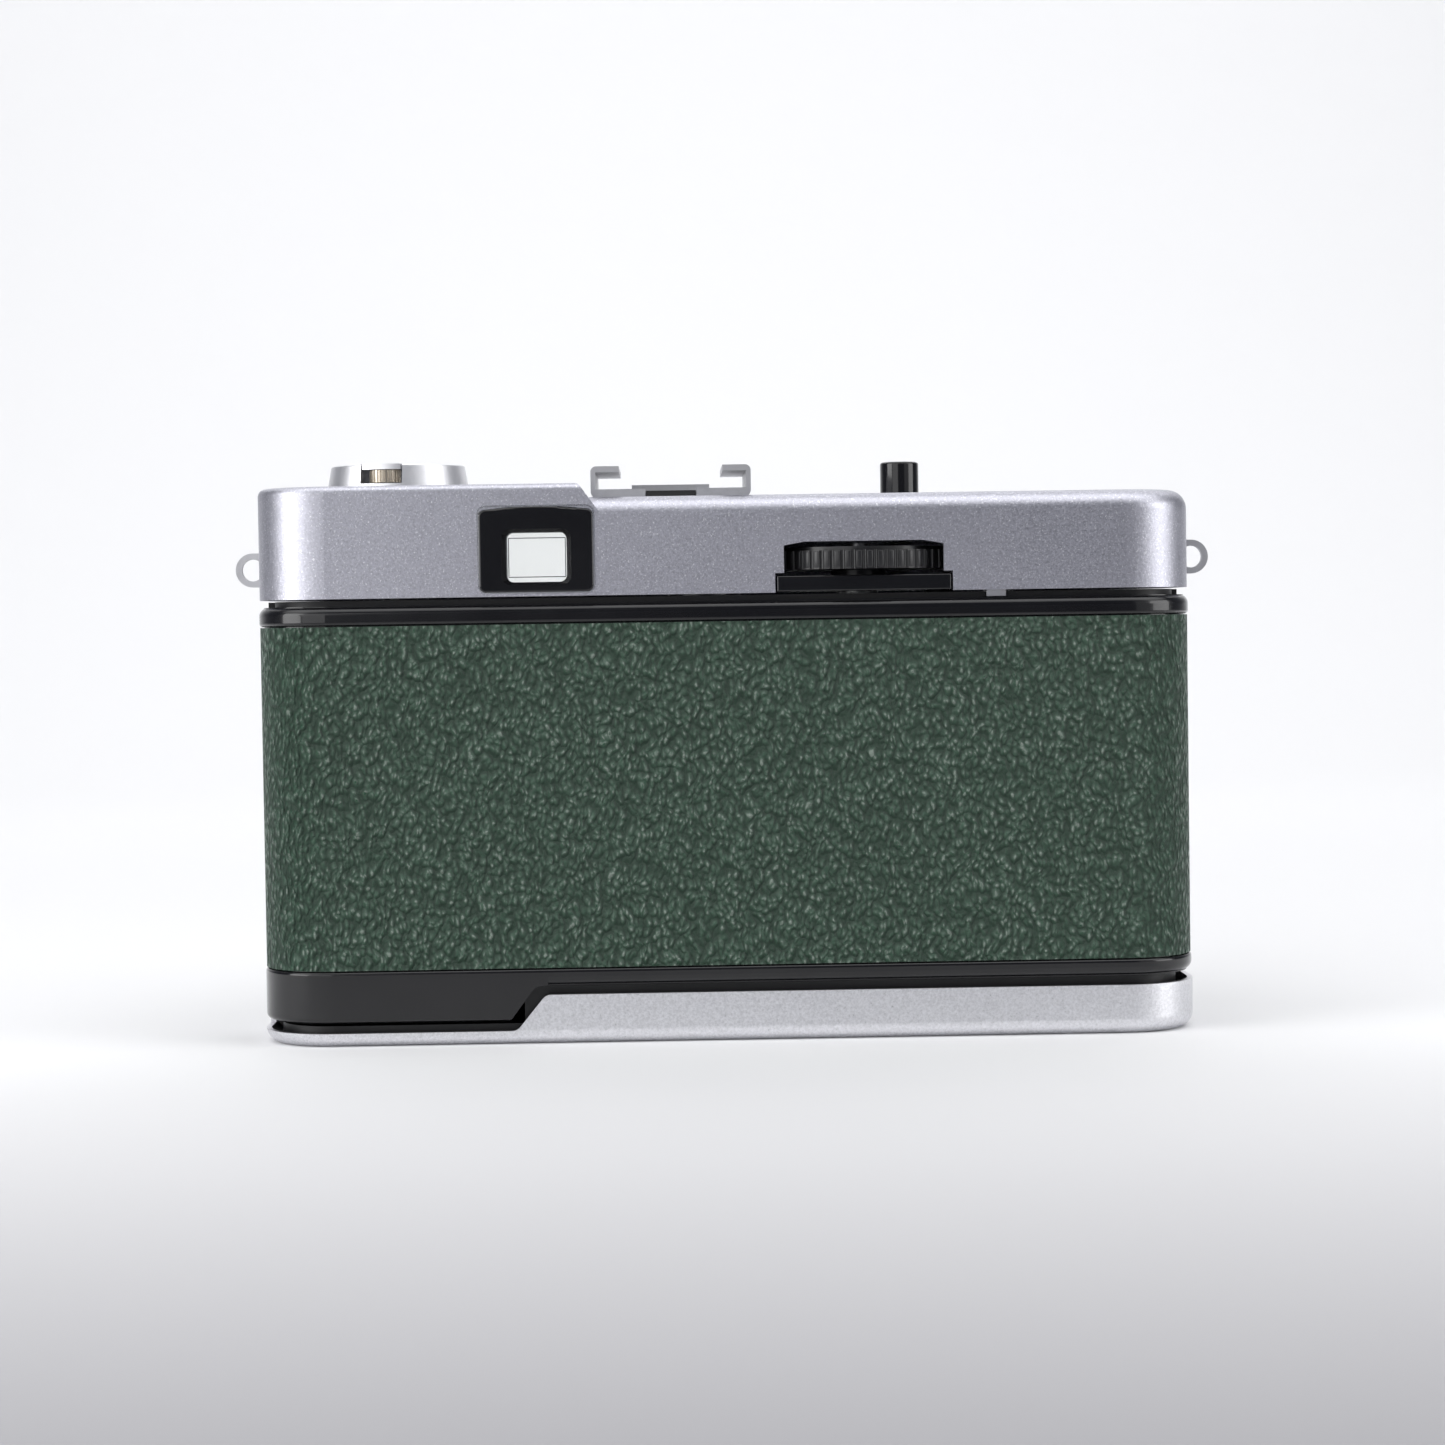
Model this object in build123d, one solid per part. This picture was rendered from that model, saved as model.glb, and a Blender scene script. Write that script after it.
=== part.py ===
"""Compact half frame camera: a die-cast body with a chromed top cover, a hinged back and a fixed lens.

Millimetres. Z is up, the lens looks along -Y, and the origin is on the tripod thread's axis at the base.
Depths along the lens axis are measured forward from Y = 0 and are called d in the lens section.
"""
from math import acos, atan2, cos, degrees, hypot, pi, radians, sin, sqrt, tan
import os

from build123d import *

# ---------------------------------------------------------------- driving dimensions
# Body, over the leatherette
BODY_W = 116.0
BODY_D = 30.0
CORNER_R = 9.0
SKIN_T = 0.5
CAST_WALL = 1.6
GAP = 0.1                     # general assembly clearance
FIT = 0.04                    # clearance round a piece set in an opening
SEAT_GAP = 0.02               # under a piece that stands on another

# Heights above the base
PLATE_LIP_Z = 1.7             # bottom cover's rim, under the deep end of the back
PLATE_RIM_Z = 6.1             # bottom cover's rim elsewhere
DOOR_DEEP_Z = 2.9             # lower edge of the back at its deep end
DOOR_LOW_Z = 7.2              # lower edge of the back elsewhere
SKIN_LOW_Z = 9.4
SKIN_HIGH_Z = 51.6
DOOR_TOP_Z = 54.1
DECK_TOP_Z = 54.8
COVER_BASE_Z = 55.0
TOP_LOW_Z = 67.1              # top cover over the shutter side
TOP_HIGH_Z = 68.8             # top cover over the finder and rewind side

# Top cover
COVER_T = 0.8
SHOULDER_R = 2.3              # rounding of the low part's top edge
RAMP_TOP_X = 17.9
RAMP_RUN = 3.0
RAMP_DROP = 4.2
COVER_EDGE_R = 0.9

# Casting
CAST_BASE_Z = 0.9
BASE_T = 1.5
DECK_T = 1.8
DECK_INSET = 1.9              # top and bottom decks, in from the leatherette, behind the split line
FLOOR_Z = 7.0
FLOOR_T = 1.5
FLOOR_END_X = 25.5            # the film chamber is deeper beyond this

# Back
SPLIT_Y = 2.0                 # where the casting ends and the back begins
DOOR_T = 0.9
BEAD_OUT = 0.1                # the beads stand this far outside the leatherette
BEAD_R = 1.1
STEP_HIGH_X = 24.0
STEP_LOW_X = 27.6
PLATE_STEP_SHIFT = 1.2        # the bottom cover's step, towards the shutter side of the back's step

# Bottom cover
PLATE_OUT = 0.2
PLATE_T = 0.7
PLATE_EDGE_R = 1.9
PLATE_INNER_R = 1.2

# Hinge of the back
HINGE_X = 0.6 - BODY_W / 2
HINGE_Y = 2.0
BARREL_R = 0.95
PIN_R = 0.5
PIN_CLEAR = 0.03
LEAF_T = 0.5
BODY_LEAF_LENGTH = 7.0
DOOR_LEAF_LENGTH = 3.6
HINGE_LOW_Z = 8.0
HINGE_HIGH_Z = 53.2
KNUCKLE_LOW_Z = 13.6          # lower body knuckle ends here
KNUCKLE_HIGH_Z = 47.6         # upper body knuckle starts here

# Latch of the back
LATCH_PROUD = 0.3
LATCH_TRAVEL = 3.0
LATCH_Z = (12.5, 22.0)
LATCH_Y = (-4.5, 1.2)

# Film path
GATE_W = 18.0
GATE_H = 24.0
FILM_H = 35.0
GATE_Y = BODY_D / 2 - 6.8     # front face of the gate plate
GATE_T = 0.8
RAIL_H = 0.2
CASSETTE_R = 12.8
CHAMBER_T = 1.0
PLATE_PRESS_W = 32.0
PLATE_PRESS_H = 38.0
PRESS_T = 1.2
PRESS_GAP = 0.3               # film and its clearance between rails and pressure plate

# Lens
LENS_Z = 30.0
MOUNT_R = 23.0
SLEEVE_R = 19.4
SLEEVE_T = 2.4
RING_CLEAR = 0.08
RING_END_GAP = 0.25
FRONT_D = BODY_D / 2
MOUNT_WEB_T = 1.0
MOUNT_D = (FRONT_D - SKIN_T, FRONT_D + 5.0)
APERTURE_RING_D = (MOUNT_D[1] + RING_END_GAP, MOUNT_D[1] + 5.35)
SPEED_RING_D = (APERTURE_RING_D[1] + RING_END_GAP, APERTURE_RING_D[1] + 5.4)
HEAD_D = (SPEED_RING_D[1] + RING_END_GAP, SPEED_RING_D[1] + 11.25)
CASE_D = (FRONT_D - 4.8, MOUNT_D[1] - MOUNT_WEB_T - 0.1)
CASE_BASE_T = 1.0
REAR_CELL_LENGTH = 4.2
APERTURE_RING_R = 23.0
SPEED_RING_R = 22.2
HEAD_R = 21.8
FILTER_R = 20.6
WINDOW_OUT_R = 19.6
WINDOW_IN_R = 11.6
RETAINER_R = 10.6
FRONT_GLASS_R = 8.0
REAR_GLASS_R = 5.2
CASE_R = 17.2
BLADE_PIVOT_R = 12.6
BLADE_PIN_R = 0.6
BLADE_T = 0.2
BLADE_LEAF_R = 5.4
BLADE_OFFSET = 2.4            # leaf's centre from the lens axis, on its pin's side
STOP_R = 4.6                  # radius of the hole that the blades cover
KNURL_COUNT = 90

# Rewind
REWIND_X = BODY_W / 2 - 17.0
REWIND_Y = 0.0
SHAFT_R = 2.2
RUN_CLEAR = 0.05
KNOB_R = 8.9
KNOB_TOP_R = 8.4
KNOB_GAP = 0.2
KNOB_H = 2.8
NOTCH_W = 5.3
NOTCH_DEPTH = 4.8             # in from the knob's edge
CRANK_TURN = 10.0             # crank's resting direction, degrees from straight back towards +X
LEVER_T = 0.7
LEVER_W = 4.9
LEVER_PIVOT = 5.8             # pivot's distance from the knob's axis
GRIP_R = 1.95
GRIP_AT = 6.35                # grip's distance from the knob's axis
COLLAR_Z = (56.0, 57.2)       # the collar that lifts the shaft
COLLAR_R = 4.0
COLLAR_GROOVE = 0.4

# Shutter button
BUTTON_X = -23.3
BUTTON_Y = 5.5 - BODY_D / 2
BUTTON_R = 2.5
BUTTON_TOP_Z = 71.9
BUTTON_FLANGE_Z = TOP_LOW_Z - COVER_T - 0.7
COLLAR_T = 0.6
CABLE_R = 1.35
CABLE_DEPTH = 3.0

# Advance train
WHEEL_X = -17.0
WHEEL_R = 12.0
WHEEL_PROUD = 1.2             # beyond the back
WHEEL_Y = BODY_D / 2 + WHEEL_PROUD - WHEEL_R
WHEEL_Z = (57.8, 60.1)
WHEEL_RIBS = 56
GEAR_MODULE = 0.5
GEAR_Z = (55.5, 56.9)
WHEEL_TEETH = 24
SPROCKET_TEETH = 16
IDLER_TEETH = 16
SPOOL_TEETH = 18
BACKLASH = 0.16
SPROCKET_R = 6.0
SPROCKET_PINS = 8
SPOOL_X = -42.5
SPOOL_FORWARD = 4.2           # its axis, in front of the sprocket's
SPOOL_Y = WHEEL_Y - SPOOL_FORWARD
SPOOL_CORE_R = 6.5
SPOOL_FLANGE_R = 9.0
AXLE_R = 1.5
SLOT_HALF_W = 9.8
SLOT_LOW_HALF_W = 10.9
SLOT_SPLIT_Z = 57.4
SLOT_TOP_Z = 61.2

# Frame counter
DIAL_X = -41.0
DIAL_Y = 2.0
DIAL_R = 8.5
DIAL_Z = (63.6, 64.4)
RESET_PIN_X = (-34.5, -32.1)
RESET_PIN_Y = BODY_D / 2 - DECK_INSET + 0.7
RESET_LIP_T = 0.55
RESET_TRAVEL = 1.5
COUNTER_WINDOW_Y = -4.4
COUNTER_WINDOW_R = 3.0

# Finder
FINDER_X = 23.1
EYE_W = 14.0
EYE_Z = (55.5, 66.0)
EYE_RECESS = (8.6, 6.9)
EYE_WINDOW = (7.4, 6.1)
EYE_AXIS_Z = 59.8
EYE_PROUD = 0.35              # beyond the back of the cover
FINDER_BOX = (14.6, 10.4)
FRONT_BEZEL = (20.0, 10.6)
FRONT_BEZEL_Z = 61.3
FRONT_WINDOW = (11.6, 8.0)

# Light meter
METER_X = 2.5
METER_Y = 1.0
METER_R = 4.6
METER_TOP_Z = 60.6
NEEDLE_Z = 61.6
NEEDLE_LENGTH = 9.0

# Accessory shoe
SHOE_X = 6.5
SHOE_Y = (-7.0, 11.0)
SHOE_SLOT_W = 18.6
SHOE_SLOT_H = 2.1
SHOE_WALL_T = 0.6
SHOE_FLOOR_T = 1.0
SHOE_LIP_T = 0.75
SHOE_LIP_GAP = 12.8
SHOE_CHANNEL_W = 6.3
SHOE_STOP = 2.2

# Small fittings
TRIPOD_R = 2.6
TRIPOD_LENGTH = 5.2
TRIPOD_BUSH_R = 4.5
TRIPOD_FLANGE_R = 6.0
TRIPOD_FLANGE_T = 0.7
LUG_X = BODY_W / 2 + 1.45
LUG_Y = 1.0
LUG_Z = 58.9
LUG_R = 2.15
LUG_HOLE_R = 1.38
LUG_T = 1.0
SCREW_CLEAR = 0.04
SCREW_R = 0.8
SCREW_HEAD_R = 1.45
SHOE_SCREW_R = 0.6
SHOE_SCREW_HEAD_R = 1.1
RELEASE_R = 2.4
BASE_SCREW_X = BODY_W / 2 - 12.0
BASE_SCREW_Y = BODY_D / 2 - 7.0
BASE_SCREWS = [
    (-BASE_SCREW_X, -BASE_SCREW_Y),
    (-BASE_SCREW_X, BASE_SCREW_Y),
    (BASE_SCREW_X, -BASE_SCREW_Y),
]
TOP_SCREW_XY = (25.0, 2.0)
TOP_SCREW_R = 2.2
TOP_SCREW_DOME = 0.4
SHOE_SCREW_XY = [(-6.2, 7.5), (6.2, 7.5), (-6.2, -2.0), (6.2, -2.0)]

BIG = 200.0                   # larger than the camera, for cutting tools


# ---------------------------------------------------------------- shared shapes
def plan(inset):
    """The body's outline seen from above, moved in from the leatherette's face."""
    return RectangleRounded(BODY_W - 2 * inset, BODY_D - 2 * inset, CORNER_R - inset)


def prism(sketch, low, high):
    """A sketch on the XY plane raised from one height to another."""
    return extrude(Plane.XY.offset(low) * sketch, high - low)


def block(x, y, z):
    """A box between two values on each axis."""
    size = [abs(pair[1] - pair[0]) for pair in (x, y, z)]
    centre = [(pair[0] + pair[1]) / 2 for pair in (x, y, z)]
    return Pos(*centre) * Box(*size)


def post(x, y, radius, low, high):
    """An upright cylinder between two heights."""
    return Pos(x, y, (low + high) / 2) * Cylinder(radius, high - low)


def across(points, y_low, y_high):
    """A closed outline of (x, z) points, extruded along Y between two values."""
    outline = make_face(Polyline(*[(x, y_high, z) for x, z in points], close=True))
    return extrude(outline, y_high - y_low, dir=(0, -1, 0))


def behind(y):
    """Everything behind a value of Y."""
    return block((-BIG, BIG), (y, BIG), (-BIG, BIG))


def in_front(y):
    """Everything in front of a value of Y."""
    return block((-BIG, BIG), (-BIG, y), (-BIG, BIG))


def to_lens(shape):
    """Takes a shape drawn about +Z onto the lens axis, with +Z becoming forward."""
    return Pos(0, 0, LENS_Z) * Rot(90, 0, 0) * shape


def ring(outer, inner, depth):
    """A plain ring about the lens axis between two depths."""
    flat = Circle(outer) - Circle(inner) if inner else Circle(outer)
    return to_lens(prism(flat, *depth))


def countersunk_screw(x, y, head_r, shank_r, top, length, upward):
    """A countersunk screw with a straight slot, its head's face at height top."""
    cone = head_r - shank_r
    way = 1 if upward else -1
    head = Pos(0, 0, way * cone / 2) * Cone(
        head_r if upward else shank_r, shank_r if upward else head_r, cone
    )
    shank = Pos(0, 0, way * (cone + length) / 2) * Cylinder(shank_r, length - cone)
    slot = Box(2.2 * head_r, 0.22 * head_r, 0.5 * cone)
    return Pos(x, y, top) * (head + shank - slot)


# ---------------------------------------------------------------- body casting and skins
def step_profile(high_x, low_x, high_z, low_z, radius):
    """The region under the back's stepped lower edge, as a face in XZ at Y = 0."""
    corner = [(-BIG, high_z), (high_x, high_z), (low_x, low_z), (BIG, low_z), (BIG, -BIG), (-BIG, -BIG)]
    face = make_face(Polyline(*[(x, 0, z) for x, z in corner], close=True))
    bends = [v for v in face.vertices() if abs(v.X) < BIG / 2]
    return fillet(bends, radius)


def rewind_hole(radius, low, high):
    """A bore on the rewind shaft's axis."""
    return post(REWIND_X, REWIND_Y, radius, low, high)


def sprocket_xy():
    """The sprocket stands beside the wheel, in mesh with it."""
    return WHEEL_X - GEAR_MODULE * (WHEEL_TEETH + SPROCKET_TEETH) / 2, WHEEL_Y


def idler_xy():
    """The idler meets the sprocket's gear and the spool's gear."""
    sx, sy = sprocket_xy()
    a = GEAR_MODULE * (SPROCKET_TEETH + IDLER_TEETH) / 2
    b = GEAR_MODULE * (IDLER_TEETH + SPOOL_TEETH) / 2
    span = hypot(SPOOL_X - sx, SPOOL_Y - sy)
    along = (a * a - b * b + span * span) / (2 * span)
    off = sqrt(a * a - along * along)
    ux, uy = (SPOOL_X - sx) / span, (SPOOL_Y - sy) / span
    return sx + along * ux + off * uy, sy + along * uy - off * ux


def body_casting():
    """Open-backed shell with decks top and bottom, the film chamber's wall and a web for the gate."""
    outer_z = (CAST_BASE_Z, DECK_TOP_Z)
    front = prism(plan(SKIN_T), *outer_z)
    front = chamfer(front.faces().sort_by(Axis.Z)[0].edges(), 1.0) & in_front(SPLIT_Y - GAP)
    room = prism(plan(SKIN_T + CAST_WALL), CAST_BASE_Z + BASE_T, DECK_TOP_Z - DECK_T)
    body = front - room
    body += prism(plan(DECK_INSET), DECK_TOP_Z - DECK_T, DECK_TOP_Z)
    body += prism(plan(DECK_INSET), CAST_BASE_Z, CAST_BASE_Z + BASE_T)
    # raised floor under the gate and the take-up side, with its rear and end walls
    floor = prism(plan(DECK_INSET), FLOOR_Z - FLOOR_T, FLOOR_Z)
    skirt = prism(plan(DECK_INSET) - plan(DECK_INSET + 1.0), CAST_BASE_Z, FLOOR_Z)
    end_wall = block((FLOOR_END_X - 1.0, FLOOR_END_X), (-BODY_D, BODY_D), (CAST_BASE_Z, FLOOR_Z))
    end_wall &= prism(plan(DECK_INSET), CAST_BASE_Z, FLOOR_Z)
    low = (floor + skirt) & block((-BIG, FLOOR_END_X), (-BIG, BIG), (-BIG, BIG))
    body += low + end_wall
    # film chamber wall and the web that carries the other end of the gate plate
    arc = prism(Circle(CASSETTE_R + CHAMBER_T) - Circle(CASSETTE_R), FLOOR_Z - FLOOR_T, DECK_TOP_Z - DECK_T)
    arc = Pos(REWIND_X, REWIND_Y, 0) * arc
    front_inner = -(BODY_D / 2 - SKIN_T - CAST_WALL)
    body += arc & block((0, REWIND_X - 5.0), (front_inner, GATE_Y), (-BIG, BIG))
    web_x = gate_plate_x()[0]
    body += block((web_x, web_x + 1.2), (front_inner, GATE_Y), (FLOOR_Z - FLOOR_T, DECK_TOP_Z - DECK_T))
    # openings: shutter, shafts, tripod bush, release
    cuts = ring(CASE_R + GAP, 0, (CASE_D[0], FRONT_D + 1))
    cuts += rewind_hole(SHAFT_R + RUN_CLEAR, DECK_TOP_Z - 3, DECK_TOP_Z + 1)
    for x, y in (sprocket_xy(), (SPOOL_X, SPOOL_Y)):
        cuts += post(x, y, AXLE_R + RUN_CLEAR, FLOOR_Z - 3, DECK_TOP_Z + 1)
    cuts += post(0, 0, TRIPOD_BUSH_R + GAP, CAST_BASE_Z - 1, FLOOR_Z + 1)
    sx, sy = sprocket_xy()
    cuts += post(sx, sy, RELEASE_R + GAP, CAST_BASE_Z - 1, CAST_BASE_Z + BASE_T + 0.5)
    for x, y in BASE_SCREWS:
        cuts += post(x, y, SCREW_R + SCREW_CLEAR, CAST_BASE_Z - 1, CAST_BASE_Z + BASE_T + 0.5)
    # hinge leaf pocket, barrel relief and latch pocket
    side = BODY_W / 2 - SKIN_T
    heights = (HINGE_LOW_Z - GAP, HINGE_HIGH_Z + GAP)
    leaf_y = (HINGE_Y - BODY_LEAF_LENGTH - GAP, HINGE_Y)
    cuts += block((-side - 1, -side + LEAF_T + SEAT_GAP), leaf_y, heights)
    cuts += block((-side - 1, -side + 1.3), (HINGE_Y - BARREL_R - GAP, HINGE_Y + 1), heights)
    cuts += latch_pocket()
    # notch in the deck's edge for the lip of the counter's reset tab
    cuts += block(
        (RESET_PIN_X[0] - GAP, RESET_PIN_X[1] + GAP),
        (RESET_PIN_Y - RESET_LIP_T - RESET_TRAVEL - GAP, BIG),
        (DOOR_TOP_Z, DECK_TOP_Z + 1),
    )
    return body - cuts


def latch_pocket():
    """Room for the latch over its whole travel."""
    side = BODY_W / 2 - SKIN_T
    heights = (LATCH_Z[0] - LATCH_TRAVEL - 2 * GAP, LATCH_Z[1] + GAP)
    return block((side - 0.6, side + 2), (LATCH_Y[0] - GAP, SPLIT_Y), heights)


def skin(low, high):
    """Leatherette wrapped round the whole body between two heights."""
    return prism(plan(0), low, high) - prism(plan(SKIN_T), low - 1, high + 1)


def hinge_relief(reach):
    """Room for the hinge barrel, on both sides of the split."""
    side = BODY_W / 2
    return block((-side - 2, -side + 3), (HINGE_Y - reach, HINGE_Y + reach), (-BIG, BIG))


def front_leatherette():
    cover = skin(SKIN_LOW_Z - 2.2, SKIN_HIGH_Z + 2.2) & in_front(SPLIT_Y - 2 * GAP)
    cover -= hinge_relief(BARREL_R + 0.25)
    cover -= ring(MOUNT_R + GAP, 0, (0, MOUNT_D[1]))
    cover -= latch_pocket()
    return cover


# ---------------------------------------------------------------- covers
def cover_blank(inset, base_z):
    """The top cover's outer form, or its hollow when inset by the wall."""
    high = TOP_HIGH_Z - inset
    low = TOP_LOW_Z - inset
    slope = RAMP_DROP / RAMP_RUN
    shift = inset * (sqrt(1 + slope * slope) - 1) / slope if inset else 0.0
    right = prism(plan(inset), base_z, low)
    right = fillet(right.faces().sort_by(Axis.Z)[-1].edges(), SHOULDER_R - inset)
    top_x = RAMP_TOP_X + inset - shift
    foot_x = top_x - RAMP_RUN
    ramp = [(BIG, base_z), (BIG, high), (top_x, high), (foot_x, high - RAMP_DROP), (foot_x, base_z)]
    left = prism(plan(inset), base_z, high) & across(ramp, -BIG, BIG)
    if not inset:
        ridge = [e for e in left.edges() if e.bounding_box().min.Z > foot_z() + 0.01]
        left = fillet(ridge, COVER_EDGE_R)
    return left + right


def foot_z():
    """Where the ramp between the two levels of the top cover starts."""
    return TOP_HIGH_Z - RAMP_DROP


def eyepiece_outline(grow):
    """The eyepiece bezel's block, swollen by a clearance."""
    width, low, high = EYE_W + 2 * grow, EYE_Z[0] - grow, EYE_Z[1] + grow
    half = width / 2
    face = make_face(
        Polyline(
            (FINDER_X - half, 0, high - 0.5),
            (FINDER_X - half, 0, low),
            (FINDER_X + half, 0, low),
            (FINDER_X + half, 0, high - 0.5),
        )
        + ThreePointArc(
            (FINDER_X + half, 0, high - 0.5), (FINDER_X, 0, high), (FINDER_X - half, 0, high - 0.5)
        )
    )
    return fillet(face.vertices(), 0.8)


def upright(face, y_low, y_high):
    """A face in the XZ plane at Y = 0, extruded between two values of Y."""
    return Pos(0, y_low, 0) * extrude(face, y_high - y_low, dir=(0, 1, 0))


def wheel_slot():
    """The window in the cover's rear wall for the advance wheel, and the wider notch under it."""
    half, slope_run, slope_drop = SLOT_HALF_W, 2.5, 0.45
    upper = [
        (WHEEL_X - half, SLOT_SPLIT_Z - 1),
        (WHEEL_X - half, SLOT_TOP_Z - slope_drop),
        (WHEEL_X - half + slope_run, SLOT_TOP_Z),
        (WHEEL_X + half - slope_run, SLOT_TOP_Z),
        (WHEEL_X + half, SLOT_TOP_Z - slope_drop),
        (WHEEL_X + half, SLOT_SPLIT_Z - 1),
    ]
    back = BODY_D / 2
    notch_x = (WHEEL_X - SLOT_LOW_HALF_W, WHEEL_X + SLOT_LOW_HALF_W)
    lower = block(notch_x, (back - 3, back + 1), (COVER_BASE_Z - 1, SLOT_SPLIT_Z))
    return across(upper, back - 3, back + 1) + lower


def top_cover():
    """The pressed cover, open below, cut for the finder, the wheel, the controls and the screws."""
    cover = cover_blank(0, COVER_BASE_Z)
    cover -= cover_blank(COVER_T, COVER_BASE_Z - 2)
    back, front = BODY_D / 2, -BODY_D / 2
    cuts = upright(eyepiece_outline(FIT), back - 3, back + 1)
    cuts += wheel_slot()
    cuts += rewind_hole(SHAFT_R + 0.4, TOP_HIGH_Z - 2, TOP_HIGH_Z + 1)
    cuts += post(BUTTON_X, BUTTON_Y, BUTTON_R + COLLAR_T + 0.1, TOP_LOW_Z - 2, TOP_LOW_Z + 1)
    cuts += post(DIAL_X, COUNTER_WINDOW_Y, COUNTER_WINDOW_R + FIT, TOP_LOW_Z - 2, TOP_LOW_Z + 1)
    cuts += upright(bezel_outline(FIT), front - 1, front + 3)
    for x in (-1, 1):
        cuts += block(
            (x * (BODY_W / 2 - 2), x * (BODY_W / 2 + 1)),
            (LUG_Y - LUG_T / 2 - 0.03, LUG_Y + LUG_T / 2 + 0.03),
            (LUG_Z - LUG_R - 0.03, LUG_Z + LUG_R + 0.03),
        )
    for x, y in SHOE_SCREW_XY:
        cuts += post(SHOE_X + x, y, SHOE_SCREW_R + SCREW_CLEAR, TOP_LOW_Z - 2, TOP_LOW_Z + 1)
    cuts += post(*TOP_SCREW_XY, SCREW_R + SCREW_CLEAR, TOP_HIGH_Z - 2, TOP_HIGH_Z + 1)
    return cover - cuts


def bottom_cover():
    """The pressed tray under the body, its rim stepped down for the back's deep end."""
    tray = prism(plan(-PLATE_OUT), 0, PLATE_RIM_Z)
    tray = fillet(tray.faces().sort_by(Axis.Z)[0].edges(), PLATE_EDGE_R)
    hollow = prism(plan(PLATE_T - PLATE_OUT - 0.05), PLATE_T, PLATE_RIM_Z + 2)
    hollow = fillet(hollow.faces().sort_by(Axis.Z)[0].edges(), PLATE_INNER_R)
    tray -= hollow
    kept = step_profile(
        STEP_HIGH_X - PLATE_STEP_SHIFT, STEP_LOW_X - PLATE_STEP_SHIFT, PLATE_RIM_Z + 1e-3, PLATE_LIP_Z, 1.4
    )
    tray -= behind(SPLIT_Y) - upright(kept, -BIG, BIG)
    cuts = post(0, 0, TRIPOD_FLANGE_R + 0.05, -1, PLATE_T + 1)
    sx, sy = sprocket_xy()
    cuts += post(sx, sy, RELEASE_R + GAP, -1, PLATE_T + 1)
    for x, y in BASE_SCREWS:
        cuts += post(x, y, SCREW_R + SCREW_CLEAR, -1, PLATE_T + 1)
        cone = SCREW_HEAD_R - SCREW_R
        cuts += Pos(x, y, cone / 2) * Cone(SCREW_HEAD_R + SCREW_CLEAR, SCREW_R + SCREW_CLEAR, cone)
    return tray - cuts


def top_cover_screw():
    """A low domed screw through the high part of the cover into the finder's roof."""
    sphere_r = (TOP_SCREW_R**2 + TOP_SCREW_DOME**2) / (2 * TOP_SCREW_DOME)
    dome = Pos(0, 0, TOP_SCREW_DOME - sphere_r) * Sphere(sphere_r)
    dome &= Pos(0, 0, TOP_SCREW_DOME) * Box(9, 9, 2 * TOP_SCREW_DOME)
    dome -= Pos(0, 0, TOP_SCREW_DOME) * Box(9, 0.5, 0.4)
    shank = post(*TOP_SCREW_XY, SCREW_R, finder_roof() - 0.7, TOP_HIGH_Z)
    return Pos(*TOP_SCREW_XY, TOP_HIGH_Z) * dome + shank


def bottom_cover_screws():
    return Compound(
        [countersunk_screw(x, y, SCREW_HEAD_R, SCREW_R, 0.02, 2.3, True).solid() for x, y in BASE_SCREWS]
    )


def tripod_bush():
    flange = post(0, 0, TRIPOD_FLANGE_R, 0, TRIPOD_FLANGE_T)
    barrel = post(0, 0, TRIPOD_BUSH_R, 0, TRIPOD_LENGTH + 0.8)
    return flange + barrel - post(0, 0, TRIPOD_R, -1, TRIPOD_LENGTH)


def strap_lugs():
    def lug(side):
        eye = Pos(side * LUG_X, LUG_Y, LUG_Z) * Rot(90, 0, 0) * Cylinder(LUG_R, LUG_T)
        inner = BODY_W / 2 - COVER_T - 1.2
        tongue = block(
            (side * inner, side * LUG_X),
            (LUG_Y - LUG_T / 2, LUG_Y + LUG_T / 2),
            (LUG_Z - LUG_R, LUG_Z + LUG_R),
        )
        hole = Pos(side * LUG_X, LUG_Y, LUG_Z) * Rot(90, 0, 0) * Cylinder(LUG_HOLE_R, 3 * LUG_T)
        return (eye + tongue - hole).solid()

    return Compound([lug(-1), lug(1)])


# ---------------------------------------------------------------- finder
def rect_at(x, z, width, height, radius):
    """A rounded rectangle in the XZ plane at Y = 0."""
    return Pos(x, 0, z) * Rot(90, 0, 0) * RectangleRounded(width, height, radius)


def bezel_outline(grow):
    return rect_at(FINDER_X, FRONT_BEZEL_Z, FRONT_BEZEL[0] + 2 * grow, FRONT_BEZEL[1] + 2 * grow, 1.2 + grow)


def eyepiece_seat(grow):
    """The outline that the eyepiece lens is let into, swollen by a clearance."""
    width, height = EYE_WINDOW
    return rect_at(FINDER_X, EYE_AXIS_Z, width + 1.1 + grow, height + 1.1 + grow, 0.85)


def eyepiece_bezel():
    """A moulded surround with a sloping recess down to the lens."""
    back = BODY_D / 2
    body = upright(eyepiece_outline(0), back - 2.2, back + EYE_PROUD)
    body = fillet(body.faces().sort_by(Axis.Y)[-1].edges(), 0.7 * EYE_PROUD)
    funnel = loft(
        [
            Pos(0, back - 1.3, 0) * rect_at(FINDER_X, EYE_AXIS_Z, *EYE_WINDOW, 0.9),
            Pos(0, back + EYE_PROUD + 0.05, 0) * rect_at(FINDER_X, EYE_AXIS_Z, *EYE_RECESS, 1.2),
        ]
    )
    through = upright(rect_at(FINDER_X, EYE_AXIS_Z, *EYE_WINDOW, 0.9), back - 4, back)
    return body - funnel - through - upright(eyepiece_seat(0.1), back - 4, back - 1.6)


def eyepiece_lens():
    back = BODY_D / 2
    return upright(eyepiece_seat(0), back - 3.2, back - 1.65)


def finder_roof():
    """The top of the finder's housing."""
    return EYE_AXIS_Z + 0.6 + FINDER_BOX[1] / 2


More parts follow.
